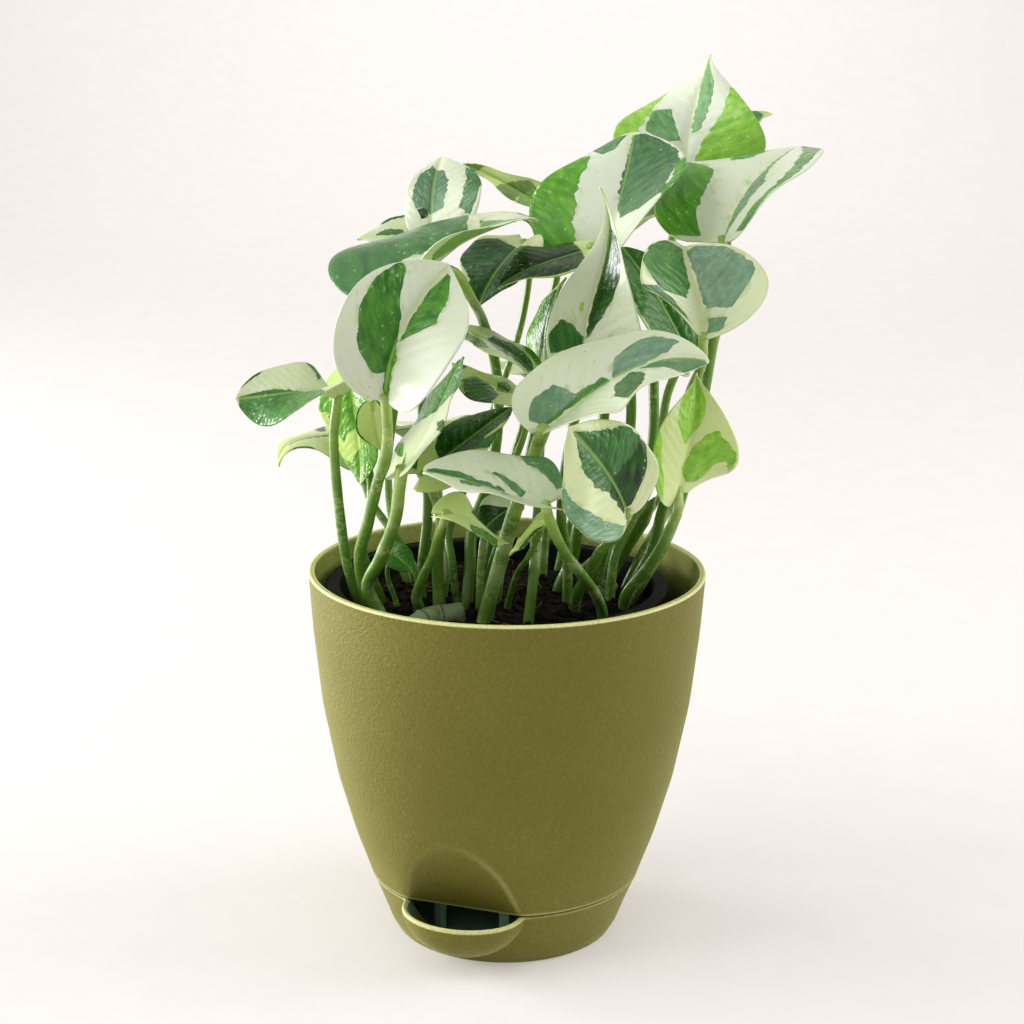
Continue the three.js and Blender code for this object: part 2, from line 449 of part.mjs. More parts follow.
function reservoir() {
  const [footRadius] = RESERVOIR_PROFILE[0];
  const outside = turned([[0, 0], ...RESERVOIR_PROFILE, [0, SEAM_Z]], POT_SIDES);
  const inner = RESERVOIR_PROFILE.slice(1).map(([radius, z]) => [radius - WALL, z]);
  const [mouthRadius] = inner.at(-1);
  const hollow = turned([[0, WALL], [footRadius - FOOT_INSET, WALL], ...inner, [mouthRadius, SEAM_Z + WALL],
    [0, SEAM_Z + WALL]], POT_SIDES);
  const shell = outside.add(pouchBowl(0, SEAM_Z));
  return shell.subtract(hollow).subtract(pouchBowl(POUCH_WALL, SEAM_Z + WALL));
}

// A plate on the reservoir's floor with a ring of posts up to the pot's floor.
function wickBasket() {
  const low = WALL + CLEARANCE;
  let body = upright(BASKET_RADIUS + POST_SIZE[0] / 2, low, low + BASKET_PLATE, 0, 0, ROUND_SIDES);
  for (let i = 0; i < BASKET_POSTS; i += 1) {
    const height = SEAM_Z - low - BASKET_PLATE / 2;
    const post = new THREE.BoxGeometry(...POST_SIZE, height);
    post.translate(BASKET_RADIUS, 0, SEAM_Z - height / 2).rotateZ((2 * Math.PI * i) / BASKET_POSTS);
    body = body.add(solid(post));
  }
  return body;
}

function nurseryPot() {
  const [footRadius, footZ] = NURSERY_PROFILE[0];
  const [, , [neckRadius, neckZ]] = NURSERY_PROFILE;
  const [, rimZ] = NURSERY_PROFILE.at(-1);
  const inner = [[0, footZ + NURSERY_WALL], [footRadius - NURSERY_WALL, footZ + NURSERY_WALL],
    [neckRadius - NURSERY_WALL, neckZ], [neckRadius - NURSERY_WALL, rimZ]];
  return turned([[0, footZ], ...NURSERY_PROFILE, ...inner.reverse()], NURSERY_SIDES, NURSERY_X);
}

function soilFill() {
  const gap = NURSERY_WALL + CLEARANCE;
  const [footRadius, footZ] = NURSERY_PROFILE[0];
  const [, , [neckRadius, neckZ]] = NURSERY_PROFILE;
  const topRadius = neckRadius - ((neckRadius - footRadius) * (neckZ - SOIL_Z)) / (neckZ - footZ) - gap;
  return turned([[0, footZ + gap], [footRadius - gap, footZ + gap], [topRadius, SOIL_Z], [0, SOIL_Z]],
    NURSERY_SIDES, NURSERY_X);
}

// A closed skin over rings of points. Point i of a ring faces point n - 1 - i, so the ends close in strips.
function loft(rings) {
  const count = rings[0].length;
  const index = [];
  const quad = (a, b, c, d) => index.push(a, b, c, a, c, d);
  for (let r = 0; r + 1 < rings.length; r += 1) {
    for (let i = 0; i < count; i += 1) {
      const next = (i + 1) % count;
      quad(r * count + i, r * count + next, (r + 1) * count + next, (r + 1) * count + i);
    }
  }
  const last = (rings.length - 1) * count;
  for (let i = 0; i + 1 < count / 2; i += 1) {
    const far = count - 1 - i;
    quad(far, far - 1, i + 1, i);
    quad(last + i, last + i + 1, last + far - 1, last + far);
  }
  const geometry = new THREE.BufferGeometry().setFromPoints(rings.flat());
  geometry.setIndex(index);
  return solid(geometry);
}

// A round tube of changing radius along a smooth path, longer at its start and its end by the two reaches.
function taperedTube(points, radiusAt, extra, reaches) {
  const path = new THREE.CatmullRomCurve3(points, false, 'catmullrom', 0.5);
  const steps = Math.max(LEAST_STALK_STEPS, Math.round(path.getLength() / STALK_STEP));
  const { normals, binormals, tangents } = path.computeFrenetFrames(steps, false);
  const ring = (step, centre) => Array.from({ length: STALK_SIDES }, (_, i) => {
    const turn = (2 * Math.PI * (i + 0.5)) / STALK_SIDES;
    const radius = radiusAt(step / steps) + extra;
    return centre.clone().addScaledVector(normals[step], radius * Math.cos(turn))
      .addScaledVector(binormals[step], radius * Math.sin(turn));
  });
  const rings = Array.from({ length: steps + 1 }, (_, step) => ring(step, path.getPointAt(step / steps)));
  const [before, after] = reaches;
  if (before > 0) rings.unshift(ring(0, path.getPointAt(0).addScaledVector(tangents[0], -before)));
  if (after > 0) rings.push(ring(steps, path.getPointAt(1).addScaledVector(tangents[steps], after)));
  return loft(rings);
}

// Half a blade's width at share t of its length: a rounded rise from the base, then a fall to the tip.
function halfWidth(t, [widest, sinus, taper]) {
  const [inner, outer] = RISE_POWERS;
  if (t < widest) return sinus + (1 - sinus) * (1 - (1 - t / widest) ** inner) ** outer;
  return Math.max(0, 1 - ((t - widest) / (1 - widest)) ** FALL_POWER) ** taper;
}

// The leaf's own axes at its base, and its midrib as a Bezier curve.
function midribOf(leaf) {
  const base = new THREE.Vector3(...leaf.base);
  const tip = new THREE.Vector3(...leaf.tip);
  const along = tip.clone().sub(base);
  const length = along.length();
  along.normalize();
  const [bearing, height] = leaf.faces.map(radians);
  const up = new THREE.Vector3(Math.cos(height) * Math.sin(bearing), -Math.cos(height) * Math.cos(bearing),
    Math.sin(height));
  up.addScaledVector(along, -up.dot(along)).normalize();
  const right = along.clone().cross(up);
  const handle = (share, i) => base.clone().addScaledVector(along, share * length)
    .addScaledVector(up, leaf.rise[i] * length).addScaledVector(right, leaf.sway[i] * length);
  const midrib = new THREE.CubicBezierCurve3(base, handle(1 / 3, 0), handle(2 / 3, 1), tip);
  return { midrib, up, right, length };
}

// A point of the blade's middle surface: t runs from base to tip, s from the left margin to the right one.
function bladePoint(leaf, frame, t, s) {
  const { midrib, up, right, length } = frame;
  const side = s < 0 ? 0 : 1;
  const across = Math.abs(s);
  const forward = midrib.getTangent(t);
  const twist = radians(leaf.twist) * (t - 0.5);
  const lift = up.clone().multiplyScalar(Math.cos(twist)).addScaledVector(right, Math.sin(twist));
  lift.addScaledVector(forward, -lift.dot(forward)).normalize();
  const sideways = forward.clone().cross(lift);
  const width = Math.max(leaf.halves[side] * halfWidth(t, leaf.outline), TIP_HALF_WIDTH);
  const blend = ([atBase, atTip]) => radians(THREE.MathUtils.lerp(atBase, atTip, t));
  const fold = blend(leaf.fold[side]);
  const curl = blend(leaf.curl[side]) || 1e-3;
  const [amplitude, waves, phase] = leaf.wave;
  const fullWidth = leaf.halves[0] + leaf.halves[1];
  const ripple = amplitude * across ** 2 * Math.sin(2 * Math.PI * (waves * t + phase + 0.5 * side));
  const out = (width * (Math.sin(fold + curl * across) - Math.sin(fold))) / curl;
  const raised = (-width * (Math.cos(fold + curl * across) - Math.cos(fold))) / curl
    + ripple * Math.min(1, width / (RIPPLE_FADE * fullWidth));
  const [outward, tipward] = LOBE_POWERS;
  const back = leaf.lobes[side] * length * across ** outward * (1 - t) ** tipward;
  return midrib.getPoint(t).addScaledVector(sideways, Math.sign(s) * out)
    .addScaledVector(lift, raised).addScaledVector(forward, -back);
}

// The blade as a thin solid: the same grid of points on both faces, half a thickness off the middle surface.
function blade(leaf, frame) {
  const large = leaf.halves[0] + leaf.halves[1] > FULL_SIZE_WIDTH;
  const [rows, columns] = large ? LARGE_GRID : SMALL_GRID;
  const grid = Array.from({ length: rows + 1 }, (_, row) => {
    const even = row / rows;
    const t = 0.5 * even + 0.25 * (1 - Math.cos(Math.PI * even));
    return Array.from({ length: columns + 1 }, (_, column) => (
      bladePoint(leaf, frame, t, (2 * column) / columns - 1)));
  });
  const rings = grid.map((line, row) => {
    const before = grid[Math.max(row - 1, 0)];
    const after = grid[Math.min(row + 1, rows)];
    const normals = line.map((_, i) => {
      const forward = after[i].clone().sub(before[i]);
      const sideways = line[Math.min(i + 1, columns)].clone().sub(line[Math.max(i - 1, 0)]);
      return sideways.cross(forward).normalize().multiplyScalar(BLADE_THICKNESS / 2);
    });
    const top = line.map((point, i) => point.clone().add(normals[i]));
    const bottom = line.map((point, i) => point.clone().sub(normals[i]));
    return [...top, ...bottom.reverse()];
  });
  return loft(rings);
}

// The stalk from the blade's base down into the soil. Its head runs on a little way under the midrib.
function stalk(leaf, frame, extra) {
  const [x, y] = leaf.foot;
  const points = [leaf.base, ...leaf.stalk, [x, y, SOIL_Z], [x, y, SOIL_Z - STALK_DEPTH]];
  const path = points.map((point) => new THREE.Vector3(...point));
  const start = path[0].clone().sub(path[1]).normalize();
  const [least, further] = HEAD_REACH;
  const reach = least + further * Math.max(0, start.dot(frame.midrib.getTangent(0)));
  const [thin, thick] = leaf.radii;
  return taperedTube(path, (u) => thin + (thick - thin) * u ** STALK_FLARE, extra, [reach, extra]);
}

function stemPiece({ path, radii }, extra) {
  const spread = (u) => {
    const place = u * (radii.length - 1);
    const before = Math.min(Math.floor(place), radii.length - 2);
    return THREE.MathUtils.lerp(radii[before], radii[before + 1], place - before);
  };
  return taperedTube(path.map((point) => new THREE.Vector3(...point)), spread, extra, [extra, extra]);
}

addNode('reservoir', reservoir(), FINISHES.pot);
addNode('upper_pot', upperPot(), FINISHES.pot);
addNode('wick_basket', wickBasket(), FINISHES.basket);
addNode('nursery_pot', nurseryPot(), FINISHES.nursery);

let soil = soilFill();
for (const [name, leaf] of Object.entries(LEAVES)) {
  const frame = midribOf(leaf);
  const finish = PALE_LEAVES.includes(name) ? FINISHES.paleLeaf : FINISHES.leaf;
  addNode(name, blade(leaf, frame).add(stalk(leaf, frame, 0)), finish);
  soil = soil.subtract(stalk(leaf, frame, STALK_SOCKET));
}
for (const [name, stem] of Object.entries({ ...STEMS, rolled_leaf: ROLLED_LEAF })) {
  addNode(name, stemPiece(stem, 0), FINISHES.stem);
  soil = soil.subtract(stemPiece(stem, STALK_SOCKET));
}
addNode('soil', soil, FINISHES.soil);

export default model;
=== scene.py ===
"""Looks of a potted variegated pothos: the plant, its soil and its self-watering pot.

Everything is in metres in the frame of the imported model: +Z up, the viewer's side at -Y and the origin at
the centre of the reservoir's flat underside. The leaves' measures are in millimetres and degrees.
"""

import logging
import math
from dataclasses import dataclass, field
from enum import Enum
from typing import ClassVar

import bpy
import numpy as np
from mathutils import Matrix


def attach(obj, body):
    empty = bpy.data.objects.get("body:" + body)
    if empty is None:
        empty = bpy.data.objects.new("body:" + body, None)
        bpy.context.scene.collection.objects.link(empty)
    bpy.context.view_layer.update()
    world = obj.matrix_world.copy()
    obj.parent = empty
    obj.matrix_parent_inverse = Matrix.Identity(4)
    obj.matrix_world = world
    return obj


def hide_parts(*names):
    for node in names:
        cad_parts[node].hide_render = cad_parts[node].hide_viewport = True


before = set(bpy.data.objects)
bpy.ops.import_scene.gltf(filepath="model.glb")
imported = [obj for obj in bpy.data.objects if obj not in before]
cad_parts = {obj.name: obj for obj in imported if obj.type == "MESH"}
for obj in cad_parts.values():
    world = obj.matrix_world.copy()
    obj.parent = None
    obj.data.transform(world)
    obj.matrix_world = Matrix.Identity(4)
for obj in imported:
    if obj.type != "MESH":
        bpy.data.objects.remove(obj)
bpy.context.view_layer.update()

log = logging.getLogger("pothos")
Array = np.ndarray
Pair = tuple[float, float]
Triple = tuple[float, float, float]

MM = 0.001
BODY = "root"

# The photograph's camera, and the frame's size in pixels.
FRAME_PIXELS = 1024
FOCAL_PIXELS = 2147.0
SENSOR_WIDTH = 36.0
CAMERA_ELEVATION = 14.55
CAMERA_DISTANCE = 0.7
CAMERA_ROLL = 0.51
CAMERA_TARGET = (0.0014, 0.0, 0.1426)

# The pot's sizes, in millimetres, as in the part's source.
SEAM_Z = 20.0
POT_FLOOR_Z = 20.3
WALL = 2.0
RIM_Z = 124.0
POT_PROFILE = ((45.2, 20.3), (50.5, 35.0), (56.2, 55.0), (61.0, 80.0), (63.7, 105.0), (65.0, 124.0))
RESERVOIR_PROFILE = ((36.5, 0.0), (38.8, 4.0), (41.8, 12.0), (45.1, 20.0))
SPOUT_BEARING = math.radians(-109.0)
SPOUT_CHORD = 40.5
SPOUT_CUT_TOP = (53.4, 45.7)
POUCH_RADII = (20.3, 16.8, 15.0)
POUCH_WALL = 1.8
NURSERY_X = -3.4
SOIL_Z = 112.0
STALK_DEPTH = 11.0

# The blades' and stalks' forms, as in the part's source. Their formulas stand where they are used.
RISE_POWERS = (2.4, 0.62)
FALL_POWER = 1.9
LOBE_POWERS = (1.3, 2.5)
RIPPLE_FADE = 0.3
SIDE_VEINS = 11.0
VEIN_SLANT = 0.3
VEIN_POWER = 1.2
HEAD_REACH = (0.6, 1.8)
STALK_FLARE = 1.5

# Sockets of a Mix node set to colours: the share, the two colours and, among its outputs, the result.
MIX_SHARE = 0
MIX_FIRST = 6
MIX_SECOND = 7
MIX_RESULT = 2

SPLINE_STEPS = 40
HALF_TO_LENGTH = 0.5
TINY = 1e-9


def srgb(red: int, green: int, blue: int) -> tuple[float, float, float, float]:
    """A colour read as 8-bit sRGB numbers, as linear RGBA."""
    linear = [c / 12.92 if c <= 0.04045 else ((c + 0.055) / 1.055) ** 2.4
              for c in (red / 255, green / 255, blue / 255)]
    return (linear[0], linear[1], linear[2], 1.0)


class Value:
    """A number socket. Used in an expression, it adds the Math nodes that work the expression out."""

    def __init__(self, graph: "Graph", socket: bpy.types.NodeSocket) -> None:
        """Wraps one output socket of a graph."""
        self.graph = graph
        self.socket = socket

    def math(self, operation: str, *others: "Value | float", clamp: bool = False) -> "Value":
        """One Math node.

        Args:
            operation: the node's operation.
            others: the further numbers or sockets.
            clamp: whether the result is held to 0..1.

        Returns:
            The node's result.
        """
        inputs = [self.socket] + [o.socket if isinstance(o, Value) else o for o in others]
        node = self.graph.add("ShaderNodeMath", {"operation": operation, "use_clamp": clamp}, inputs)
        return Value(self.graph, node.outputs[0])

    def __add__(self, other: "Value | float") -> "Value":
        """self + other."""
        return self.math("ADD", other)

    __radd__ = __add__

    def __mul__(self, other: "Value | float") -> "Value":
        """self * other."""
        return self.math("MULTIPLY", other)

    __rmul__ = __mul__

    def __sub__(self, other: "Value | float") -> "Value":
        """self - other."""
        return self.math("SUBTRACT", other)

    def __rsub__(self, other: float) -> "Value":
        """other - self."""
        return self.math("MULTIPLY_ADD", -1.0, other)

    def step(self, low: float, high: float) -> "Value":
        """Rises smoothly from 0 at low to 1 at high."""
        settings = {"interpolation_type": "SMOOTHSTEP"}
        inputs = {"Value": self.socket, "From Min": low, "From Max": high}
        node = self.graph.add("ShaderNodeMapRange", settings, inputs)
        return Value(self.graph, node.outputs["Result"])


class Graph:
    """The node tree of one material."""

    def __init__(self, name: str) -> None:
        """Makes an empty material with a Principled shader."""
        self.material = bpy.data.materials.new(name)
        self.material.use_nodes = True
        self.tree = self.material.node_tree
        self.shader = self.tree.nodes["Principled BSDF"]

    def add(self, kind: str, settings: dict, inputs: dict | list) -> bpy.types.Node:
        """Adds a node.

        Args:
            kind: the node's type.
            settings: its own settings, which are set first.
            inputs: the values or links of its sockets, by name or in order.

        Returns:
            The node.
        """
        node = self.tree.nodes.new(kind)
        for key, setting in settings.items():
            setattr(node, key, setting)
        pairs = inputs.items() if isinstance(inputs, dict) else enumerate(inputs)
        for key, value in pairs:
            self.feed(node.inputs[key], value)
        return node

    def feed(self, socket: bpy.types.NodeSocket, value: object) -> None:
        """Links or sets one input socket."""
        source = value.socket if isinstance(value, Value) else value
        if isinstance(source, bpy.types.NodeSocket):
            self.tree.links.new(source, socket)
        else:
            socket.default_value = source

    def value(self, kind: str, settings: dict, inputs: dict | list, output: str | int = 0) -> Value:
        """Adds a node and wraps one of its number outputs."""
        return Value(self, self.add(kind, settings, inputs).outputs[output])

    def attribute(self, name: str) -> tuple[Value, Value, Value]:
        """The three numbers of a vector attribute of the mesh."""
        node = self.add("ShaderNodeAttribute", {"attribute_name": name}, [])
        parts = self.add("ShaderNodeSeparateXYZ", {}, [node.outputs["Vector"]])
        return Value(self, parts.outputs[0]), Value(self, parts.outputs[1]), Value(self, parts.outputs[2])

    def place(self) -> bpy.types.NodeSocket:
        """The point in Object coordinates."""
        return self.add("ShaderNodeTexCoord", {}, []).outputs["Object"]

    def point(self, x: "Value | float", y: "Value | float", z: "Value | float") -> bpy.types.NodeSocket:
        """A vector made of three numbers."""
        return self.add("ShaderNodeCombineXYZ", {}, [x, y, z]).outputs[0]

    def noise(self, where: bpy.types.NodeSocket, scale: float, detail: float = 2.0,
              rough: float = 0.5) -> Value:
        """Smooth noise about 0.5."""
        inputs = {"Vector": where, "Scale": scale, "Detail": detail, "Roughness": rough}
        return self.value("ShaderNodeTexNoise", {}, inputs)

    def cells(self, where: bpy.types.NodeSocket, scale: float, randomness: float = 1.0) -> Value:
        """The distance to the nearest of many scattered points, 0 at the points."""
        inputs = {"Vector": where, "Scale": scale, "Randomness": randomness}
        return self.value("ShaderNodeTexVoronoi", {}, inputs, "Distance")

    def blend(self, share: "Value | float", first: object, second: object) -> bpy.types.NodeSocket:
        """Mixes two colours by a share."""
        inputs = {MIX_SHARE: share, MIX_FIRST: first, MIX_SECOND: second}
        return self.add("ShaderNodeMix", {"data_type": "RGBA"}, inputs).outputs[MIX_RESULT]

    def ramp(self, share: Value, stops: tuple[tuple[float, tuple], ...]) -> bpy.types.NodeSocket:
        """A colour read along a ramp of stops."""
        node = self.add("ShaderNodeValToRGB", {}, [share])
        elements = node.color_ramp.elements
        while len(elements) < len(stops):
            elements.new(0.5)
        for element, (position, color) in zip(elements, stops):
            element.position = position
            element.color = color
        return node.outputs[0]

    def bump(self, height: Value, distance: float) -> bpy.types.NodeSocket:
        """A normal tilted by a height, whose full range is the distance in metres."""
        inputs = {"Height": height, "Distance": distance, "Strength": 1.0}
        return self.add("ShaderNodeBump", {}, inputs).outputs[0]

    def dress(self, **sockets: object) -> bpy.types.Material:
        """Feeds the shader's sockets, named with _ for a space, and returns the material."""
        for name, value in sockets.items():
            self.feed(self.shader.inputs[name.replace("_", " ")], value)
        return self.material


def smooth(low: float, high: float, x: Array) -> Array:
    """Rises from 0 at low to 1 at high with flat ends: 3u^2 - 2u^3."""
    u = np.clip((x - low) / (high - low), 0.0, 1.0)
    return u * u * (3.0 - 2.0 * u)


def unit(v: Array) -> Array:
    """Vectors of length 1 along the last axis."""
    return v / np.maximum(np.linalg.norm(v, axis=-1, keepdims=True), TINY)


class Ends(Enum):
    """How the two ends of a skin are closed."""

    FLAT = "one flat face"
    STRIP = "a strip between the two halves of the ring"


@dataclass
class Skin:
    """A closed skin over rings of points, in millimetres, with numbers at its points."""

    rings: Array
    material: bpy.types.Material
    ends: Ends = Ends.FLAT
    marks: dict[str, Array] = field(default_factory=dict)

    def faces(self) -> list[tuple[int, ...]]:
        """Quads between neighbouring rings, and the closed ends, as lists of point numbers."""
        count, around = self.rings.shape[:2]
        ring = np.arange(count - 1)[:, None] * around
        here = np.arange(around)[None, :]
        after = (here + 1) % around
        quads = np.stack([ring + here, ring + after, ring + around + after, ring + around + here], axis=-1)
        result = [tuple(q) for q in quads.reshape(-1, 4).tolist()]
        last = (count - 1) * around
        if self.ends is Ends.FLAT:
            return result + [tuple(range(around))[::-1], tuple(range(last, last + around))]
        near = np.arange(around // 2 - 1)
        far = around - 1 - near
        first = np.stack([far, far - 1, near + 1, near], axis=-1)
        final = np.stack([near, near + 1, far - 1, far], axis=-1) + last
        return result + [tuple(q) for q in np.vstack([first, final]).tolist()]

    def outward(self) -> bool:
        """Whether the quads face outwards, by the sign of the volume they hold."""
        a = self.rings[:-1]
        b = np.roll(self.rings[:-1], -1, axis=1)
        c = np.roll(self.rings[1:], -1, axis=1)
        d = self.rings[1:]
        return float((a * np.cross(b, c)).sum() + (a * np.cross(c, d)).sum()) >= 0.0

    def turned_out(self) -> list[tuple[int, ...]]:
        """The faces, all pointing outwards."""
        faces = self.faces()
        return faces if self.outward() else [face[::-1] for face in faces]


def put(name: str, skins: list[Skin], nodes: list[str], sharp: float = 0.0) -> bpy.types.Object:
    """Makes one piece of several skins, and joins it to the frame.

    Args:
        name: the piece's name.
        skins: its skins.
        nodes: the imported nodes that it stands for.
        sharp: the angle in degrees past which an edge is drawn sharp, or 0 for none.

    Returns:
        The piece's object.
    """
    materials = list(dict.fromkeys(skin.material for skin in skins))
    points, faces, used = [], [], []
    count = 0
    for skin in skins:
        own = skin.turned_out()
        faces += [tuple(i + count for i in face) for face in own]
        used += [materials.index(skin.material)] * len(own)
        points.append(skin.rings.reshape(-1, 3) * MM)
        count += len(points[-1])
    mesh = bpy.data.meshes.new(name)
    mesh.from_pydata(np.concatenate(points).tolist(), [], faces)
    mesh.polygons.foreach_set("use_smooth", np.ones(len(faces), dtype=bool))
    for material in materials:
        mesh.materials.append(material)
    mesh.polygons.foreach_set("material_index", np.array(used, dtype=np.int32))
    for key in dict.fromkeys(key for skin in skins for key in skin.marks):
        parts = [skin.marks.get(key, np.zeros(skin.rings.shape)).reshape(-1, 3) for skin in skins]
        layer = mesh.attributes.new(key, "FLOAT_VECTOR", "POINT")
        layer.data.foreach_set("vector", np.concatenate(parts).astype(np.float32).reshape(-1))
    mesh.update()
    if sharp:
        mesh.set_sharp_from_angle(angle=math.radians(sharp))
    piece = bpy.data.objects.new(name, mesh)
    bpy.context.scene.collection.objects.link(piece)
    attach(piece, BODY)
    if nodes:
        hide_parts(*nodes)
    log.info("%s: %d faces", name, len(faces))
    return piece


def full_turn(count: int) -> Array:
    """Evenly spaced bearings, from 0 to just short of a full turn."""
    return 2 * np.pi * np.arange(count) / count


def tube(path: Array, radius: Array, sides: int, ripple: Array | None = None) -> Array:
    """Rings of a round tube: a circle of the given radius carried along a path without turning about it.

    Args:
        path: points along the middle, (n, 3).
        radius: the radius at each point, (n,).
        sides: points in a ring.
        ripple: the radius at each point and turn as a share of the radius, (n, sides).

    Returns:
        The rings, (n, sides, 3).
    """
    along = unit(np.gradient(path, axis=0))
    sideways = np.zeros_like(path)
    steep = abs(along[0, 0]) > 0.8
    start = np.array([0.0, 1.0, 0.0]) if steep else np.array([1.0, 0.0, 0.0])
    sideways[0] = unit(start - along[0] * (start @ along[0]))
    for i in range(1, len(path)):
        carried = sideways[i - 1] - along[i] * (sideways[i - 1] @ along[i])
        sideways[i] = unit(carried)
    third = np.cross(along, sideways)
    turn = full_turn(sides)
    size = radius[:, None] * (np.ones((len(path), sides)) if ripple is None else ripple)
    circle = np.cos(turn)[None, :, None] * sideways[:, None] + np.sin(turn)[None, :, None] * third[:, None]
    return path[:, None] + size[..., None] * circle


def spline(points: tuple[Triple, ...] | list[Triple], count: int) -> Array:
    """A uniform Catmull-Rom curve through points.

    Each stretch is the cubic whose slope at a point is half the way from the point before it to the one
    after it.

    Args:
        points: the points it passes.
        count: how many points to return, evenly spaced along it.

    Returns:
        Points along the curve, (count, 3).
    """
    p = np.array(points, dtype=float)
    p = np.vstack([2 * p[0] - p[1], p, 2 * p[-1] - p[-2]])
    stretches = len(p) - 3
    u = np.linspace(0, stretches, SPLINE_STEPS * stretches + 1)
    i = np.minimum(u.astype(int), stretches - 1)
    w = (u - i)[:, None]
    a, b, c, d = p[i], p[i + 1], p[i + 2], p[i + 3]
    slope_b, slope_c = 0.5 * (c - a), 0.5 * (d - b)
    curve = ((2 * b - 2 * c + slope_b + slope_c) * w ** 3 + (3 * c - 3 * b - 2 * slope_b - slope_c) * w ** 2
             + slope_b * w + b)
    length = np.r_[0, np.cumsum(np.linalg.norm(np.diff(curve, axis=0), axis=1))]
    even = np.linspace(0, length[-1], count)
    return np.stack([np.interp(even, length, curve[:, k]) for k in range(3)], axis=1)


@dataclass(frozen=True)
class Patch:
    """A green area of a blade.

    tone is its green, from 0 darkest to 1 lime. outline are its corners: how far each lies from the midrib
    towards the right margin, as a share of the half's width and negative to the left, and its share of the
    length from the base. grey is how much pale cells cloud its green.
    """

    tone: float
    outline: tuple[Pair, ...]
    grey: float = 0.0

    def field(self, s: Array, t: Array) -> Array:
        """The distance in to the outline, in shares of the leaf's length, negative outside it.

        It is the least distance to the outline's sides, signed by how often a ray towards the tip crosses
        them. A half of the blade counts as half as wide as the blade is long.
        """
        corners = np.array(self.outline) * (HALF_TO_LENGTH, 1.0)
        x = s * HALF_TO_LENGTH
        best = np.full(s.shape, np.inf)
        inside = np.zeros(s.shape, dtype=bool)
        for (x0, t0), (x1, t1) in zip(corners, np.roll(corners, -1, axis=0)):
            span = (x1 - x0) ** 2 + (t1 - t0) ** 2
            share = np.clip(((x - x0) * (x1 - x0) + (t - t0) * (t1 - t0)) / span, 0, 1)
            best = np.minimum(best, np.hypot(x - x0 - share * (x1 - x0), t - t0 - share * (t1 - t0)))
            if x0 != x1:
                crossed = (x >= min(x0, x1)) & (x < max(x0, x1))
                inside ^= crossed & (t0 + (t1 - t0) * (x - x0) / (x1 - x0) > t)
        return np.where(inside, best, -best)


